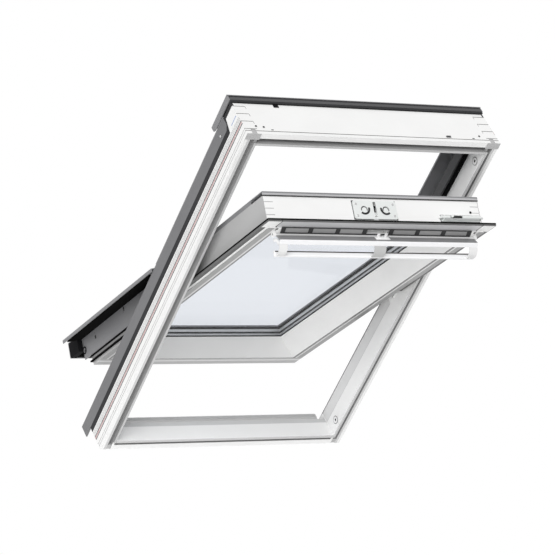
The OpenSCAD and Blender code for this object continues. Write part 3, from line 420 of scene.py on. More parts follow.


# Painted shade on the bottom rail's room face: a line painted as the shadow gap under its slope, a lighter
# band and a grey strip in shade.
RAIL_FOOT = (
    room_strip((MIDDLE, 0.2815), (-0.4165, -0.4075), RAIL_LINE),
    room_strip((MIDDLE, 0.2815), (-0.426, -0.4165), RAIL_STEP),
    room_strip((MIDDLE, 0.2815), (-0.447, -0.426), RAIL_STRIP),
)
WHITE = Finish(
    "white_lacquer", (0.84, 0.84, 0.835), (0.81, 0.81, 0.805), Grain.PEEL, (0.3, 0.38), coat=0.15,
)
MARKED = WHITE.marked(
    "marked_lacquer",
    marks=(
        side_line(0.044, 0.0014, DARK_LINE), side_line(0.0402, 0.0013, RED_LINE),
        side_line(0.036, 0.0014, DARK_LINE), side_line(0.021, 0.0008, RIB_LINE),
        side_line(0.0145, 0.0008, RIB_LINE), side_line(0.049, 0.0007, RIB_LINE),
        side_line(0.053, 0.0007, RIB_LINE), side_line(0.057, 0.0007, RIB_LINE),
        side_line(0.068, 0.001, BLUE_LINE, 0.456, 0.484),
        seam(0.021), seam(0.0455), seam(0.07), seam(0.0945),
        seam_end(0.0455), seam_end(0.07), seam_end(0.0945),
        Mark((MIDDLE, 0.0136, 0.487), (0.3315, 0.0154, 0.49), DARK_LINE),
        # Painted shade on the jambs' and the head's nose sides and lining grooves.
        Mark((0.3046, NOSE, -0.5), (0.3165, 0.006, 0.5), NOSE_SIDE),
        Mark((0.3046, 0.006, -0.5), (0.3165, 0.0195, 0.5), GROOVE),
        Mark((MIDDLE, NOSE, 0.4636), (0.3046, 0.006, 0.4755), NOSE_SIDE),
        Mark((MIDDLE, 0.006, 0.4636), (0.3165, 0.0195, 0.4755), GROOVE),
        # Painted shade on the recessed weather half of the jambs' inner faces, with a line at the step's
        # edge.
        Mark((0.2985, 0.0462, -0.458), (0.3012, 0.0765, -0.05), STEP_TONE),
        Mark((0.2985, 0.0452, -0.458), (0.3012, 0.0462, -0.05), RIB_LINE),
        # Painted shade in the sill's lining groove.
        Mark((MIDDLE, 0.0055, -0.4755), (0.3165, 0.0195, -0.4635), GROOVE),
        # Painted shade on the recessed weather half of the sill's inner face.
        Mark((MIDDLE, 0.0462, -0.459), (0.2985, 0.0765, -0.457), SILL_TONE),
        # Painted shade on the lip's edge by the groove, and on the noses' front faces.
        Mark((0.316, 0.0035, -0.5), (0.3222, 0.0062, 0.5), LIP_TONE),
        Mark((0.2985, NOSE, -0.465), (0.3052, 0.0018, 0.465), NOSE_FACE),
        Mark((MIDDLE, NOSE, -0.465), (0.2985, 0.0018, -0.457), NOSE_FACE),
        Mark((MIDDLE, NOSE, 0.457), (0.2985, 0.0018, 0.465), NOSE_FACE),
    ),
)
SASH_WHITE = WHITE.marked(
    "sash_lacquer", turn=OPEN_ANGLE,
    marks=(
        sash_seam(0.052), sash_seam(0.067), sash_seam(0.082), sash_seam(0.097),
        Mark((0.2945, 0.0385, 0.03), (0.2975, 0.0435, 0.456), SEAL_EDGE),
        Mark((0.26, 0.0385, 0.4535), (0.2975, 0.0435, 0.456), SEAL_EDGE),
        Mark((0.2835, 0.0385, 0.03), (0.2945, 0.0405, 0.42), FLANGE_FACE),
        # Painted shadow of the jamb on the sash's outer sides, then painted shade on their lower part.
        Mark((0.2795, 0.0435, 0.03), (0.2815, 0.12, 0.4255), STILE_SIDE),
        Mark((0.2795, 0.034, -0.447), (0.2815, 0.0468, -0.05), STILE_FOOT),
        # Painted shade on the stiles' and the bottom rail's room faces: a shadow gap line, a lighter band and
        # a grey strip in shade.
        room_strip((0.255, 0.2605), (-0.4075, 0.4255), STILE_LINE),
        room_strip((0.2605, 0.266), (-0.4165, 0.4255), STILE_STEP),
        room_strip((0.266, 0.2815), (-0.426, 0.4255), STILE_STRIP),
        *RAIL_FOOT,
    ),
)
# The bottom rail carries the same painted shadow gap and shade on its room face.
RAIL_WHITE = WHITE.marked("rail_lacquer", RAIL_FOOT, OPEN_ANGLE)
MOULDED_WHITE = Finish("moulded_white", grey(0.82), grey(0.8), Grain.MOULDED, (0.32, 0.42))
BAR_WHITE = MarkedFinish(
    "coated_bar", (0.82, 0.82, 0.83), (0.78, 0.78, 0.79), Grain.DRAWN, (0.26, 0.36), coat=0.2,
    turn=OPEN_ANGLE,
    marks=(Mark((MIDDLE, -0.008, 0.394), (0.258, -0.003, 0.4), DARK_LINE),),
)
GREY_SHEET = Finish(
    "grey_coated_sheet", (0.215, 0.215, 0.222), (0.195, 0.195, 0.203), Grain.POWDER, (0.42, 0.55),
)
# Painted light and shade: the upper cover is the grey sheet painted lighter, and the side cladding the same
# sheet painted darker, as the light falls on them.
UPPER_COVER = Finish("upper_cover", (0.28, 0.28, 0.287), (0.25, 0.25, 0.257), Grain.POWDER, (0.42, 0.55))
SIDE_CLADDING = Finish(
    "side_cladding", (0.15, 0.15, 0.156), (0.136, 0.136, 0.142), Grain.POWDER, (0.42, 0.55),
)
SIDE_STRIP = Finish(
    "side_strip", (0.036, 0.036, 0.038), (0.032, 0.032, 0.034), Grain.RUBBED, (0.6, 0.75), specular=0.1,
)
SIDE_SHEET = GREY_SHEET.marked(
    "slotted_side_sheet", turn=OPEN_ANGLE,
    marks=(
        Mark((0.2815, 0.1, -0.2564), (0.284, 0.111, -0.25), BLACK_EDGE),
        Mark((0.2815, 0.089, -0.4144), (0.284, 0.0975, -0.4074), BLACK_EDGE),
    ),
)
TOP_SHEET = GREY_SHEET.marked(
    "lined_top_sheet", turn=OPEN_ANGLE,
    marks=(
        Mark((MIDDLE, 0.1095, 0.42), (0.29, 0.112, 0.44), BLACK_EDGE),
        Mark((MIDDLE, 0.112, 0.42), (0.29, 0.1165, 0.44), SHEET_LIGHT),
    ),
)
FLANGE_BAR = MarkedFinish(
    "grey_section", (0.54, 0.54, 0.55), (0.5, 0.5, 0.51), Grain.DRAWN, (0.34, 0.46), turn=OPEN_ANGLE,
    marks=(
        Mark((0.2598, 0.02, 0.4), (0.2625, 0.05, 0.46), BLACK_EDGE),
        Mark((MIDDLE, 0.0385, 0.4535), (0.26, 0.0435, 0.456), SEAL_EDGE),
    ),
)
FLAP_SHEET = MarkedFinish(
    "flap_sheet", (0.27, 0.27, 0.275), (0.22, 0.22, 0.225), Grain.DRAWN, (0.34, 0.46), metallic=0.2,
    turn=OPEN_ANGLE,
    marks=(Mark((MIDDLE, 0.0234, 0.409), (0.2575, 0.029, 0.4163), FLAP_LINE),),
)
SILL_STRIP = Finish("grey_sill_strip", grey(0.46), grey(0.42), Grain.DRAWN, (0.4, 0.5))
CHARCOAL = MarkedFinish(
    "charcoal_strip", (0.03, 0.03, 0.032), (0.026, 0.026, 0.028), Grain.POWDER, (0.45, 0.55), specular=0.1,
    marks=(Mark((MIDDLE, 0.11, 0.48), (0.34, 0.119, 0.5), BAND_GREY),),
)
# The dark grey of the jamb stops and the head's catch; on the sash's pads and the bushings' rims it is a
# painted shadow gap.
DARK_STOP_AND_SHADOW_GAP = Finish(
    "dark_stop_and_shadow_gap", (0.085, 0.085, 0.088), (0.07, 0.07, 0.073), Grain.MOULDED, (0.45, 0.55), specular=0.2,
)
SEAL = Finish("black_seal", grey(0.01), grey(0.008), Grain.RUBBED, (0.6, 0.75), specular=0.0)
LOW_SEAL = SEAL.marked(
    "ribbed_seal", turn=OPEN_ANGLE,
    marks=(Mark((0.28, 0.0468, -0.5), (0.283, 0.0548, 0.0), WEB_GREY),),
)
BLACK_PLASTIC = Finish(
    "black_moulding", (0.012, 0.012, 0.013), (0.009, 0.009, 0.01), Grain.MOULDED, (0.45, 0.55), specular=0.01,
)
GRILLE = Finish(
    "grille_moulding", (0.05, 0.05, 0.051), (0.042, 0.042, 0.043), Grain.MOULDED, (0.45, 0.55),
    specular=0.1,
)
# Painted shade: the flap's white end caps are painted light grey, and the control bar's white brackets take
# the corner keys' grey, as the shade on them.
HORN_WHITE = Finish("horn_moulding", grey(0.7), grey(0.66), Grain.MOULDED, (0.34, 0.44))
GREY_KEY_AND_BRACKET_SHADE = Finish("grey_moulding", grey(0.45), grey(0.41), Grain.MOULDED, (0.4, 0.5))
FILTER = Finish("filter_fleece", grey(0.38), grey(0.3), Grain.RUBBED, (0.8, 0.95), specular=0.1)
ZINC = Finish("zinc_plate", (0.66, 0.68, 0.67), (0.6, 0.62, 0.61), Grain.DRAWN, (0.28, 0.4), metallic=0.7)
STEEL = Finish("plated_steel", grey(0.62), grey(0.55), Grain.DRAWN, (0.18, 0.3), metallic=1.0)
PALE_ZINC = Finish(
    "pale_zinc", (0.78, 0.8, 0.79), (0.72, 0.74, 0.73), Grain.DRAWN, (0.3, 0.42), metallic=0.3,
)
LATCH = MarkedFinish(
    "latch_steel", STEEL.colour, STEEL.shade, Grain.DRAWN, (0.18, 0.3), metallic=0.6, turn=OPEN_ANGLE,
    # Painted shade: the latch is black where it shows in the lock plate's slot, as the shade in the slot.
    marks=(Mark((MIDDLE, 0.079, 0.4), (0.01, 0.12, 0.44), BLACK_EDGE),),
)
BOLT = PALE_ZINC.marked(
    "bolt_steel", turn=OPEN_ANGLE,
    # Painted shade: the bolt is black where it shows in its housing's slot, as the shade in the slot.
    marks=(Mark((0.197, 0.06, 0.42), (0.2245, 0.075, 0.4348), BLACK_EDGE),),
)
BUSHING = MOULDED_WHITE.marked(
    "bushing_moulding",
    # Painted shade: the bore of each bushing is black, as the shade in the hole.
    marks=(Mark((0.2996, -0.01, -0.5), (0.34, 0.12, 0.5), BLACK_EDGE),),
)
# Painted shadow: the cams are near black, as the shadow under the lock plate's raised stampings.
CAM_SHADOWED_STEEL = Finish("cam_steel_painted_shadow", grey(0.03), grey(0.02), Grain.DRAWN, (0.3, 0.42), specular=0.2)
DARK_STEEL = Finish("dark_steel", grey(0.1), grey(0.07), Grain.DRAWN, (0.3, 0.42), metallic=0.6)
SPACER = MarkedFinish(
    "spacer_bar", grey(0.75), grey(0.7), Grain.DRAWN, (0.35, 0.45), metallic=0.2,
    turn=OPEN_ANGLE,
    marks=(
        Mark((MIDDLE, 0.0985, -0.5), (0.3, 0.1035, 0.5), BLACK_EDGE),
        # Painted light: the spacer's far band is pale, as bright as the glass in front of it.
        Mark((MIDDLE, 0.1035, -0.5), (0.3, 0.12, 0.5), PALE_EDGE),
    ),
)
PANE = GlassFinish("clear_pane", (0.89, 0.905, 0.93), (0.0, 0.012), 1.06)

# A right-hand node takes the finish of the left-hand one.
NODE_FINISH: dict[str, Finish | GlassFinish] = {
    "head": MARKED, "sill": MARKED, "left_jamb": MARKED, "corner_keys": GREY_KEY_AND_BRACKET_SHADE, "jamb_stops": DARK_STOP_AND_SHADOW_GAP,
    "left_side_seal": SIDE_STRIP, "left_side_cladding": SIDE_CLADDING, "left_upper_cover": UPPER_COVER,
    "top_cover": GREY_SHEET, "hood_strip": CHARCOAL, "sill_cover": GREY_SHEET, "sill_seal": SILL_STRIP,
    "upper_frame_seal": SEAL, "striker_plate": ZINC, "bolt_bushings": BUSHING, "left_hinge_frame": ZINC,
    "hinge_screws": STEEL, "top_rail": SASH_WHITE, "bottom_rail": RAIL_WHITE, "left_stile": SASH_WHITE,
    "top_flange": FLANGE_BAR, "inner_pane": PANE, "outer_pane": PANE, "glass_spacer": SPACER,
    "inner_gasket": SEAL, "outer_gasket": SEAL, "sash_seal": SEAL, "lower_sash_seal": LOW_SEAL,
    "cover_foam": SEAL, "apron_foam": SEAL, "top_cladding": TOP_SHEET, "left_upper_cladding": GREY_SHEET,
    "left_lower_cover": SIDE_SHEET, "bottom_cover": GREY_SHEET, "left_end_cap": BLACK_PLASTIC,
    "left_hinge_sash": ZINC, "vent_grille": GRILLE, "vent_filter": FILTER, "flap_bearings": MOULDED_WHITE,
    "lock_plate": PALE_ZINC, "lock_screws": STEEL, "bolt_housing": PALE_ZINC, "vent_flap": FLAP_SHEET,
    # Painted shade: the flap's end caps and the control bar's brackets are white mouldings painted grey.
    "flap_edge": BAR_WHITE, "flap_end_caps": HORN_WHITE, "bar_brackets": GREY_KEY_AND_BRACKET_SHADE,
    "control_bar": BAR_WHITE, "lock_latch": LATCH, "barrel_bolt": BOLT,
}


class SolidDresser:
    """Gives every solid of the frame its finish."""

    def dress(self) -> None:
        """Sets the material slots of all solids."""
        for name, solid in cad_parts.items():
            finish = NODE_FINISH.get(name.replace("right_", "left_"), WHITE)
            solid.data.materials.clear()
            solid.data.materials.append(finish.material())
            LOG.info("%s: %s", name, finish.name)


class Side(Enum):
    """A face of a block, by the way it looks."""

    LEFT = (-1.0, 0.0, 0.0)
    RIGHT = (1.0, 0.0, 0.0)
    ROOM = (0.0, -1.0, 0.0)
    DOWN = (0.0, 0.0, -1.0)
    UP = (0.0, 0.0, 1.0)


class Axis(Enum):
    """An axis that a face is spun round."""

    ACROSS = (1.0, 0.0, 0.0)
    UP = (0.0, 0.0, 1.0)


@dataclass(frozen=True)
class Place:
    """Where pieces of one body go: a turn about X, then a shift.

    Args:
        body: the body that the pieces ride on.
        turn: the turn in degrees.
        shift: the shift after the turn.
    """

    body: str
    turn: float
    shift: Point


def turned(y: float, z: float) -> Point:
    """Returns where a point of the closed sash lies on the open sash."""
    angle = math.radians(OPEN_ANGLE)
    off = y - PIVOT_Y
    return (
        0.0,
        PIVOT_Y + off * math.cos(angle) - z * math.sin(angle),
        off * math.sin(angle) + z * math.cos(angle),
    )


ON_FRAME = Place("frame", 0.0, (0.0, 0.0, 0.0))
ON_SASH = Place("sash", OPEN_ANGLE, turned(0.0, 0.0))
ON_FLAP = Place("vent_flap", OPEN_ANGLE + 180.0 - FLAP_RISE, turned(*FLAP_PIVOT))
ON_FLAP_BAR = Place("vent_flap", OPEN_ANGLE, turned(0.0, 0.0))


class Shaper:
    """Models one small piece step by step.

    Args:
        name: the piece's name.
    """

    def __init__(self, name: str) -> None:
        """Starts with nothing selected."""
        self.name = name
        self.piece: bpy.types.Object | None = None
        bpy.ops.object.select_all(action="DESELECT")

    def begin(self) -> Shaper:
        """Takes the new primitive and opens it for shaping."""
        self.piece = bpy.context.active_object
        self.piece.name = self.name
        bpy.ops.object.transform_apply(location=True, rotation=True, scale=True)
        bpy.ops.object.mode_set(mode="EDIT")
        bpy.ops.mesh.select_mode(type="FACE")
        return self

    def block(self, low: Point, high: Point) -> Shaper:
        """Starts from a block between two corners."""
        size = tuple(b - a for a, b in zip(low, high))
        middle = tuple((a + b) / 2 for a, b in zip(low, high))
        bpy.ops.mesh.primitive_cube_add(size=1.0, location=middle, scale=size)
        return self.begin()

    def plate(self, patch: Patch, level: float, height: float) -> Shaper:
        """Starts from a low block on a level face and selects its top."""
        x0, y0, x1, y1 = patch
        return self.block((x0, y0, level), (x1, y1, level + height)).pick(Side.UP)

    def disc(self, radius: float, thick: float, middle: Point, axis: Side) -> Shaper:
        """Starts from a disc whose axis looks along a side."""
        turn = Vector(axis.value).to_track_quat("Z", "Y").to_euler()
        bpy.ops.mesh.primitive_cylinder_add(
            vertices=DISC_SIDES, radius=radius, depth=thick, location=middle, rotation=turn,
        )
        return self.begin()

    def pick(self, *sides: Side) -> Shaper:
        """Selects the outermost faces that look to those sides."""
        bpy.ops.mesh.select_all(action="DESELECT")
        bpy.ops.object.mode_set(mode="OBJECT")
        faces = self.piece.data.polygons
        for side in sides:
            way = Vector(side.value)
            looking = [f for f in faces if f.normal.dot(way) > FACING]
            far = max(f.center.dot(way) for f in looking)
            for face in looking:
                if face.center.dot(way) > far - SAME_LEVEL:
                    face.select = True
        bpy.ops.object.mode_set(mode="EDIT")
        return self

    def draw_out(self, move: Point) -> Shaper:
        """Extrudes the selected faces by a move."""
        bpy.ops.mesh.extrude_region_move(TRANSFORM_OT_translate={"value": move})
        return self

    def inset(self, width: float) -> Shaper:
        """Insets the selected faces."""
        bpy.ops.mesh.inset(thickness=width)
        return self

    def shift(self, move: Point) -> Shaper:
        """Moves the selected faces."""
        bpy.ops.transform.translate(value=move)
        return self

    def shrink(self, ratio: float) -> Shaper:
        """Scales the selected faces about their middle."""
        bpy.ops.transform.resize(value=(ratio, ratio, ratio))
        return self

    def sweep(self, axis: Axis, degrees: float, steps: int, centre: Point) -> Shaper:
        """Spins the selected face round an axis through a centre."""
        bpy.ops.mesh.spin(steps=steps, angle=math.radians(degrees), center=centre, axis=axis.value)
        return self

    def bore(self) -> Shaper:
        """Joins two inset end faces into a hole."""
        bpy.ops.mesh.bridge_edge_loops()
        return self

    def soften(self, width: float, steps: int = 2) -> Shaper:
        """Rounds every sharp edge."""
        bpy.ops.mesh.select_all(action="DESELECT")
        bpy.ops.mesh.select_mode(type="EDGE")
        bpy.ops.mesh.edges_select_sharp(sharpness=math.radians(SHARP_EDGE))
        bpy.ops.mesh.bevel(offset=width, segments=steps, affect="EDGES", clamp_overlap=True)
        bpy.ops.mesh.select_mode(type="FACE")
        return self

    def done(self, place: Place, finish: Finish, slot: str) -> None:
        """Closes the piece, puts it in its place and hands it over.

        Args:
            place: the body's place.
            finish: the piece's finish.
            slot: the record's material slot; not used.
        """
        bpy.ops.mesh.select_all(action="SELECT")
        bpy.ops.mesh.normals_make_consistent(inside=False)
        bpy.ops.object.mode_set(mode="OBJECT")
        bpy.ops.object.shade_smooth_by_angle(angle=math.radians(SMOOTH_EDGE))
        self.piece.rotation_euler = (math.radians(place.turn), 0.0, 0.0)
        self.piece.location = place.shift
        bpy.ops.object.transform_apply(location=True, rotation=True, scale=True)
        self.piece.data.materials.append(finish.material())
        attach(self.piece, place.body)
        LOG.info("%s: added on %s", self.name, place.body)


@dataclass(frozen=True)
class HeadFittings:
    """Small fittings on the head's up-slope face.

    Args:
        face: height of that face.
        screws: places of the screws across and outwards.
        screw_r: radius of a screw's head.
        screw_h: height of a screw's head.
        drive_d: depth of a drive.
        nails: places of the nail heads.
        nail_half: half a nail head's size across and outwards.
        nail_h: height of a nail head.
        nail_rim: width of its rim.
        nail_dip: depth of its middle.
        tab: the tab's patch.
        tab_h: height of the tab.
        tab_rim: width of its rim.
        tab_dip: depth of its middle.
        catch: the catch's patch.
        catch_h: height of the catch's foot.
        catch_rim: width of the step round its block.
        catch_rise: height of its block.
        edge: rounding of the edges.
    """

    face: float = 0.489
    screws: tuple[Spot, ...] = ((-0.299, 0.0294), (-0.2804, 0.0274), (0.2824, 0.0269))
    screw_r: float = 0.0026
    screw_h: float = 0.0012
    drive_d: float = 0.0008
    nails: tuple[Spot, ...] = ((-0.2617, 0.0193), (0.2629, 0.0183))
    nail_half: Spot = (0.003, 0.001)
    nail_h: float = 0.0005
    nail_rim: float = 0.0004
    nail_dip: float = 0.0002
    tab: Patch = (-0.226, 0.095, -0.213, 0.1045)
    tab_h: float = 0.0012
    tab_rim: float = 0.0015
    tab_dip: float = 0.0005
    catch: Patch = (0.190, 0.018, 0.202, 0.023)
    catch_h: float = 0.0015
    catch_rim: float = 0.001
    catch_rise: float = 0.0015
    edge: float = 0.0003

    def build(self) -> None:
        """Makes the screws, the nail heads, the tab and the catch."""
        for index, spot in enumerate(self.screws):
            self.screw(f"head_screw_{index}", *spot)
        for index, spot in enumerate(self.nails):
            self.nail(f"head_nail_{index}", *spot)
        tab = Shaper("head_tab").plate(self.tab, self.face, self.tab_h).inset(self.tab_rim)
        tab.draw_out((0.0, 0.0, -self.tab_dip)).soften(self.edge)
        tab.done(ON_FRAME, BLACK_PLASTIC, "black_plastic")
        catch = Shaper("head_catch").plate(self.catch, self.face, self.catch_h).inset(self.catch_rim)
        catch.draw_out((0.0, 0.0, self.catch_rise)).soften(self.edge)
        catch.done(ON_FRAME, DARK_STOP_AND_SHADOW_GAP, "grey_plastic")

    def screw(self, name: str, x: float, y: float) -> None:
        """Makes one screw with a sunk drive."""
        middle = (x, y, self.face + self.screw_h / 2)
        head = Shaper(name).disc(self.screw_r, self.screw_h, middle, Side.UP)
        head.pick(Side.UP).inset(self.screw_r * DRIVE_RIM)
        head.draw_out((0.0, 0.0, -self.drive_d)).soften(self.edge)
        head.done(ON_FRAME, DARK_STEEL, "bright_steel")

    def nail(self, name: str, x: float, y: float) -> None:
        """Makes one nail head with a shallow dip."""
        half_x, half_y = self.nail_half
        patch = (x - half_x, y - half_y, x + half_x, y + half_y)
        nail = Shaper(name).plate(patch, self.face, self.nail_h).inset(self.nail_rim)
        nail.shift((0.0, 0.0, -self.nail_dip)).done(ON_FRAME, BLACK_PLASTIC, "black_plastic")


@dataclass(frozen=True)
class SideFittings:
    """Screws that hold the side claddings to the jambs, and dark rims round the right jamb's bushings that
    paint the shadow gap round each flange.

    Args:
        reach: distance of the claddings' faces from the middle.
        places: outward and upward place of each screw.
        radius: radius of a head.
        height: height of a head.
        drive_d: depth of a drive.
        edge: rounding of a head's edges.
        bushings: outward and upward place of the bushings with a flange.
        jamb_face: distance of the jambs' inner faces from the middle.
        rim_r: outer radius of a rim.
        rim_w: width of a rim.
        rim_t: thickness of a rim.
        rim_edge: rounding of a rim's edges.
    """

    reach: float = 0.330
    places: tuple[Spot, ...] = ((0.0867, 0.409),)
    radius: float = 0.0032
    height: float = 0.0014
    drive_d: float = 0.0009
    edge: float = 0.0004
    bushings: tuple[Spot, ...] = ((0.0188, 0.4228), (0.0219, -0.4235))
    jamb_face: float = 0.299
    rim_r: float = 0.0100
    rim_w: float = 0.0014
    rim_t: float = 0.0005
    rim_edge: float = 0.0001

    def build(self) -> None:
        """Makes the rims, and the screws of both sides."""
        for index, spot in enumerate(self.bushings):
            self.rim(f"bushing_shadow_rim_{index}", *spot)
        for side in (Side.LEFT, Side.RIGHT):
            for index, spot in enumerate(self.places):
                self.screw(f"side_screw_{side.name.lower()}_{index}", side, *spot)

    def rim(self, name: str, y: float, z: float) -> None:
        """Makes the thin dark rim round one bushing, a painted shadow gap round its flange."""
        middle = (self.jamb_face - self.rim_t / 2, y, z)
        rim = Shaper(name).disc(self.rim_r, self.rim_t, middle, Side.LEFT)
        rim.pick(Side.LEFT, Side.RIGHT).inset(self.rim_w).bore().soften(self.rim_edge)
        rim.done(ON_FRAME, DARK_STOP_AND_SHADOW_GAP, "grey_plastic")

    def screw(self, name: str, side: Side, y: float, z: float) -> None:
        """Makes one screw with a sunk drive."""
        sign = side.value[0]
        middle = (sign * (self.reach + self.height / 2), y, z)
        head = Shaper(name).disc(self.radius, self.height, middle, side)
        head.pick(side).inset(self.radius * DRIVE_RIM)
        head.draw_out((-sign * self.drive_d, 0.0, 0.0)).soften(self.edge)
        head.done(ON_FRAME, STEEL, "bright_steel")


@dataclass(frozen=True)
class SashFittings:
    """Small fittings on the sash: lock cams, drain rings, pads and a plug.

    Args:
        lock_face: height of the lock plate's face on the closed sash.
        rail_face: height of the top rail's upper face.
        cam_x: distance of the cams' centres from the middle.
        cam_y: distance of the cams' centres from the nose plane.
        cam_r: radius of the cams' curve.
        cam_h: height of the cams above the lock plate.
        cam_w: width of the cams' walls.
        cam_turn: how far round the cams reach, in degrees.
        cam_steps: steps of the cams' curve.
        plate_x: distance of the side plates' faces from the middle.
        drain: outward and upward place of the drain holes.
        drain_r: radius of the drain holes.
        ring_reach: how far a ring reaches beyond its hole.
        ring_w: width of a ring.
        ring_h: height of a ring.
        lock_pads: patches of the pads below the lock plate.
        bolt_pad: patch of the pad below the bolt's housing.
        pad_h: height of a pad.
        pad_rim: width of its rim.
        pad_dip: depth of its middle.
        plug: place of the plug across and outwards.
        plug_r: radius of the plug.
        plug_h: height of the plug.
        plug_rim: width of its rim.
        plug_dip: depth of its middle.
        edge: rounding of the edges.
    """

    lock_face: float = 0.428
    rail_face: float = 0.425
    cam_x: float = 0.028
    cam_y: float = 0.088
    cam_r: float = 0.0125
    cam_h: float = 0.0008
    cam_w: float = 0.0046
    cam_turn: float = 132.0
    cam_steps: int = 12
    plate_x: float = 0.283
    drain: Spot = (0.082, -0.475)
    drain_r: float = 0.004
    ring_reach: float = 0.0055
    ring_w: float = 0.0032
    ring_h: float = 0.001
    lock_pads: tuple[Patch, ...] = (
        (-0.0572, 0.0598, -0.0060, 0.1050), (0.0060, 0.0598, 0.0572, 0.1050),
    )
    bolt_pad: Patch = (0.1707, 0.0588, 0.2763, 0.0758)
    pad_h: float = 0.0006
    pad_rim: float = 0.0006
    pad_dip: float = 0.0002
    plug: Spot = (0.2557, 0.083)
    plug_r: float = 0.003
    plug_h: float = 0.0008
    plug_rim: float = 0.001
    plug_dip: float = 0.0003
    edge: float = 0.0002

    def build(self) -> None:
        """Makes the cams, the rings, the pads and the plug."""
        for side in (Side.LEFT, Side.RIGHT):
            self.cam(f"lock_cam_{side.name.lower()}", side.value[0])
            self.ring(f"drain_ring_{side.name.lower()}", side)
        for index, patch in enumerate(self.lock_pads):
            self.pad(f"lock_pad_{index}", patch)
        self.pad("bolt_pad", self.bolt_pad)
        middle = (*self.plug, self.rail_face + self.plug_h / 2)
        plug = Shaper("rail_plug").disc(self.plug_r, self.plug_h, middle, Side.UP)
        plug.pick(Side.UP).inset(self.plug_rim).shift((0.0, 0.0, -self.plug_dip)).soften(self.edge)
        plug.done(ON_SASH, BLACK_PLASTIC, "black_plastic")

    def pad(self, name: str, patch: Patch) -> None:
        """Makes the thin dark pad that a fitting sits on: partly a gasket, partly a painted shadow gap that
        outlines the fitting.
        """
        pad = Shaper(name).plate(patch, self.rail_face, self.pad_h).inset(self.pad_rim)
        pad.shift((0.0, 0.0, -self.pad_dip)).done(ON_SASH, DARK_STOP_AND_SHADOW_GAP, "black_rubber")

    def cam(self, name: str, sign: float) -> None:
        """Makes one cam: a low curved wall on the lock plate, from its inner end round to the outer one, near
        black as painted shadow under its stamping.
        """
        x = sign * self.cam_x
        start = x - sign * self.cam_r
        low = (start - self.cam_w / 2, self.cam_y - self.cam_w / 2, self.lock_face)
        high = (start + self.cam_w / 2, self.cam_y, self.lock_face + self.cam_h)
        cam = Shaper(name).block(low, high).pick(Side.ROOM)
        cam.sweep(Axis.UP, -sign * self.cam_turn, self.cam_steps, (x, low[1], self.lock_face))
        cam.soften(self.edge).done(ON_SASH, CAM_SHADOWED_STEEL, "bright_steel")

    def ring(self, name: str, side: Side) -> None:
        """Makes the raised ring round a drain hole."""
        other = Side.RIGHT if side is Side.LEFT else Side.LEFT
        middle = (side.value[0] * (self.plate_x + self.ring_h / 2), *self.drain)
        ring = Shaper(name).disc(self.drain_r + self.ring_reach, self.ring_h, middle, side)
        ring.pick(side, other).inset(self.ring_w).bore().soften(self.edge)
        ring.done(ON_SASH, BLACK_PLASTIC, "black_plastic")


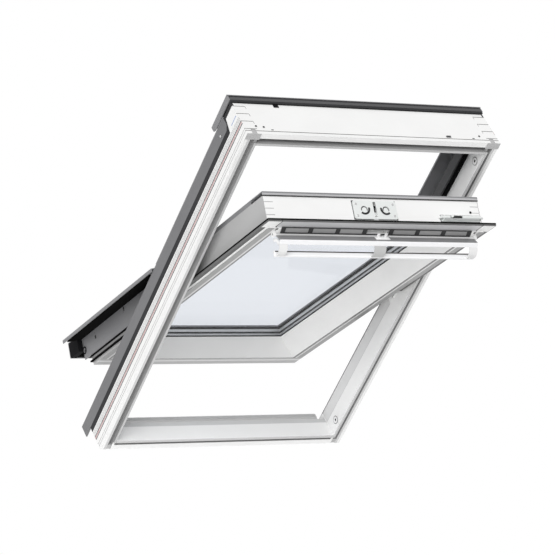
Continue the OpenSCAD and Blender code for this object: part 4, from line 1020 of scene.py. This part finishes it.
@dataclass(frozen=True)
class FlapFittings:
    """Pieces on the ventilation flap: its keeper, the webs in its horns and the control bar's end plugs.

    In the flap's own frame Y runs from the pivot to the free edge and Z below the plate.

    Args:
        top: the plate's upper face in that frame.
        keeper_x: ends of the keeper across.
        keeper_y: ends of the keeper from the pivot.
        keeper_h: height of the keeper's foot.
        keeper_rim: width of the step round its raised middle.
        keeper_step: height of that step.
        prong_in: how far in from the keeper's two ends the prongs start.
        prong_w: width of a prong.
        prong_y: ends of a prong's foot from the pivot.
        prong_foot: lower and upper end of a prong's foot above the plate.
        rise: height of the keeper's prongs above the plate.
        prong_lean: lean of a prong towards the free edge.
        prong_taper: size of a prong's end against its foot.
        hook: reach and height of the hook on a prong.
        bar_end: distance of the control bar's ends from the middle.
        bar: place of the control bar on the closed sash.
        bar_size: half its height and half its thickness.
        plug_h: height of an end plug's flange.
        plug_rim: width of the step round its middle.
        plug_rise: height of its middle above the flange.
        plug_steps: steps of its rounding.
        fins: ends across of each web in the horns.
        horn_centre: centre of the horns' curve on the closed sash.
        horn_reach: inner and outer radius of the webs.
        fin_start: length of a web's straight start.
        fin_turn: how far round a web reaches, in degrees.
        fin_steps: steps of its curve.
        edge: rounding of the keeper's plate and the webs.
        soft_edge: rounding of the prongs and plugs.
    """

    top: float = -0.0015
    keeper_x: Span = (-0.009, 0.027)
    keeper_y: Span = (0.0057, 0.0175)
    keeper_h: float = 0.0015
    keeper_rim: float = 0.002
    keeper_step: float = 0.0008
    prong_in: Span = (0.005, 0.012)
    prong_w: float = 0.007
    prong_y: Span = (0.0059, 0.0087)
    prong_foot: Span = (0.0012, 0.004)
    rise: float = 0.0105
    prong_lean: float = 0.0005
    prong_taper: float = 0.85
    hook: Spot = (0.0025, 0.001)
    bar_end: float = 0.2575
    bar: Spot = (-0.011, 0.3945)
    bar_size: Spot = (0.0066, 0.0031)
    plug_h: float = 0.0012
    plug_rim: float = 0.0012
    plug_rise: float = 0.0006
    plug_steps: int = 3
    fins: tuple[Span, ...] = (
        (-0.2574, -0.2548), (-0.0144, -0.0122), (0.0122, 0.0144), (0.2548, 0.2574),
    )
    horn_centre: Spot = (0.00337, 0.40016)
    horn_reach: Span = (0.0115, 0.0181)
    fin_start: float = 0.0005
    fin_turn: float = 94.0
    fin_steps: int = 14
    edge: float = 0.0004
    soft_edge: float = 0.0005

    def build(self) -> None:
        """Makes the keeper with its prongs, the webs and the plugs."""
        self.keeper("keeper_plate")
        left, right = self.keeper_x
        for index, x in enumerate((left + self.prong_in[0], right - self.prong_in[1])):
            self.prong(f"keeper_prong_{index}", x)
        for index, span in enumerate(self.fins):
            self.fin(f"horn_fin_{index}", *span)
        for side in (Side.LEFT, Side.RIGHT):
            self.plug(f"bar_plug_{side.name.lower()}", side)

    def keeper(self, name: str) -> None:
        """Makes the keeper's stepped plate."""
        low = (self.keeper_x[0], self.keeper_y[0], self.top - self.keeper_h)
        high = (self.keeper_x[1], self.keeper_y[1], self.top)
        base = Shaper(name).block(low, high).pick(Side.DOWN).inset(self.keeper_rim)
        base.draw_out((0.0, 0.0, -self.keeper_step)).soften(self.edge)
        base.done(ON_FLAP, MOULDED_WHITE, "white_plastic")

    def prong(self, name: str, x: float) -> None:
        """Makes one prong of the keeper, with a hooked end."""
        near, far = self.prong_foot
        low = (x, self.prong_y[0], self.top - far)
        high = (x + self.prong_w, self.prong_y[1], self.top - near)
        prong = Shaper(name).block(low, high).pick(Side.DOWN)
        prong.draw_out((0.0, self.prong_lean, far - self.rise)).shrink(self.prong_taper)
        reach, height = self.hook
        prong.pick(Side.DOWN).draw_out((0.0, reach, -height)).soften(self.soft_edge)
        prong.done(ON_FLAP, MOULDED_WHITE, "white_plastic")

    def fin(self, name: str, x0: float, x1: float) -> None:
        """Makes one curved web inside a horn, from the flap's edge down to the bar."""
        y, z = self.horn_centre
        start = y - self.fin_start
        inner, outer = self.horn_reach
        fin = Shaper(name).block((x0, start, z + inner), (x1, y, z + outer)).pick(Side.ROOM)
        fin.sweep(Axis.ACROSS, self.fin_turn, self.fin_steps, (x0, start, z)).soften(self.edge)
        fin.done(ON_FLAP_BAR, MOULDED_WHITE, "white_plastic")

    def plug(self, name: str, side: Side) -> None:
        """Makes one end plug of the control bar."""
        sign = side.value[0]
        y, z = self.bar
        tall, thick = self.bar_size
        near, far = sorted((sign * self.bar_end, sign * (self.bar_end + self.plug_h)))
        plug = Shaper(name).block((near, y - tall, z - thick), (far, y + tall, z + thick))
        plug.pick(side).inset(self.plug_rim).draw_out((sign * self.plug_rise, 0.0, 0.0))
        plug.soften(self.soft_edge, self.plug_steps)
        plug.done(ON_FLAP_BAR, MOULDED_WHITE, "white_plastic")


@dataclass(frozen=True)
class Studio:
    """Camera, lamps, floor and background.

    Args:
        eye: the camera's place.
        right: the camera's right-hand direction.
        up: the camera's upward direction.
        lens: focal length in millimetres.
        sensor: width of the sensor in millimetres.
        sight: farthest distance that the camera shows.
        floor_z: height of the floor.
        floor_half: half the floor's width.
        floor_tone: the floor's colour where it lights.
        floor_rough: the floor's roughness.
        key: direction, strength and spread of the lamp above.
        front: place, power and size of the lamp in front.
        ambient: strength of the world where it lights.
    """

    eye: Point = (-3.23647339, -3.83656281, 3.67888005)
    right: Point = (0.85790804, -0.3679887, 0.35857791)
    up: Point = (-0.00795914, 0.68828773, 0.72539414)
    lens: float = 175.874
    sensor: float = 36.0
    sight: float = 200.0
    floor_z: float = -1.6
    floor_half: float = 14.0
    floor_tone: Colour = (0.55, 0.55, 0.55)
    floor_rough: float = 0.9
    key: tuple[Point, float, float] = ((-0.52, -0.26, 0.81), 2.85, 50.0)
    front: tuple[Point, float, float] = ((-1.8, -3.4, -0.6), 60.0, 2.0)
    ambient: float = 0.36

    def build(self) -> None:
        """Makes the whole studio."""
        bpy.context.scene.view_settings.view_transform = "Standard"
        self.camera()
        self.key_lamp(*self.key)
        self.front_lamp(*self.front)
        self.background()
        self.floor()

    def camera(self) -> None:
        """Sets the camera at the photograph's viewing angle."""
        data = bpy.data.cameras.new("camera")
        data.sensor_width = self.sensor
        data.sensor_fit = "HORIZONTAL"
        data.lens = self.lens
        data.clip_end = self.sight
        data.dof.use_dof = False
        camera = bpy.data.objects.new("camera", data)
        bpy.context.scene.collection.objects.link(camera)
        right = Vector(self.right).normalized()
        back = right.cross(Vector(self.up)).normalized()
        up = back.cross(right)
        turn = Matrix((right, up, back)).transposed()
        camera.matrix_world = Matrix.Translation(self.eye) @ turn.to_4x4()
        bpy.context.scene.camera = camera

    def key_lamp(self, towards: Point, strength: float, angle: float) -> None:
        """Adds the broad lamp above the window.

        Args:
            towards: direction from the window to the lamp.
            strength: its strength.
            angle: its spread in degrees.
        """
        data = bpy.data.lights.new("key_lamp", "SUN")
        data.energy = strength
        data.angle = math.radians(angle)
        self.aim(data, (0.0, 0.0, 0.0), towards)

    def front_lamp(self, place: Point, power: float, size: float) -> None:
        """Adds the soft box in front of the window's room side.

        Args:
            place: the lamp's place.
            power: its power in watts.
            size: its width and height.
        """
        data = bpy.data.lights.new("front_lamp", "AREA")
        data.energy = power
        data.size = size
        self.aim(data, place, place)

    def aim(self, data: bpy.types.Light, place: Point, towards: Point) -> None:
        """Puts a lamp in its place, shining away from a direction."""
        lamp = bpy.data.objects.new(data.name, data)
        lamp.location = place
        lamp.rotation_euler = Vector(towards).to_track_quat("Z", "Y").to_euler()
        lamp.visible_camera = False
        lamp.visible_transmission = False
        bpy.context.scene.collection.objects.link(lamp)

    def seen(self, tree: bpy.types.NodeTree) -> Socket:
        """Returns a socket that is 1 for rays that show the background."""
        path = tree.nodes.new("ShaderNodeLightPath")
        total = path.outputs["Is Camera Ray"]
        for key in ("Is Glossy Ray", "Is Transmission Ray"):
            made = tree.nodes.new("ShaderNodeMath")
            made.operation = "MAXIMUM"
            tree.links.new(total, made.inputs[0])
            tree.links.new(path.outputs[key], made.inputs[1])
            total = made.outputs[0]
        return total

    def background(self) -> None:
        """Makes the world white where it is seen and softer where it lights."""
        world = bpy.data.worlds.new("studio_world")
        world.use_nodes = True
        tree = world.node_tree
        tree.nodes.clear()
        level = tree.nodes.new("ShaderNodeMapRange")
        level.inputs["To Min"].default_value = self.ambient
        level.inputs["To Max"].default_value = 1.0
        tree.links.new(self.seen(tree), level.inputs["Value"])
        shade = tree.nodes.new("ShaderNodeBackground")
        shade.inputs["Color"].default_value = (1.0, 1.0, 1.0, 1.0)
        tree.links.new(level.outputs["Result"], shade.inputs["Strength"])
        output = tree.nodes.new("ShaderNodeOutputWorld")
        tree.links.new(shade.outputs["Background"], output.inputs["Surface"])
        bpy.context.scene.world = world

    def floor(self) -> None:
        """Lays a wide pale floor below the window."""
        bpy.ops.object.select_all(action="DESELECT")
        bpy.ops.mesh.primitive_plane_add(size=2 * self.floor_half, location=(0.0, 0.0, self.floor_z))
        floor = bpy.context.active_object
        floor.name = "studio_floor"
        bpy.ops.object.transform_apply(location=True, rotation=True, scale=True)
        nodes = Nodes("pale_floor")
        nodes.shader.inputs["Base Color"].default_value = (*self.floor_tone, 1.0)
        nodes.shader.inputs["Roughness"].default_value = self.floor_rough
        glow = nodes.add("ShaderNodeEmission")
        mixed = nodes.add("ShaderNodeMixShader")
        nodes.join(self.seen(nodes.tree), mixed.inputs["Fac"])
        nodes.join(nodes.shader.outputs["BSDF"], mixed.inputs[1])
        nodes.join(glow.outputs["Emission"], mixed.inputs[2])
        nodes.join(mixed.outputs["Shader"], nodes.output.inputs["Surface"])
        floor.data.materials.append(nodes.material)


def main() -> None:
    """Builds the studio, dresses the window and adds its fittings."""
    logging.basicConfig(level=logging.INFO, format="%(name)s %(message)s")
    Studio().build()
    SolidDresser().dress()
    HeadFittings().build()
    SideFittings().build()
    SashFittings().build()
    FlapFittings().build()


if __name__ == "__main__":
    main()
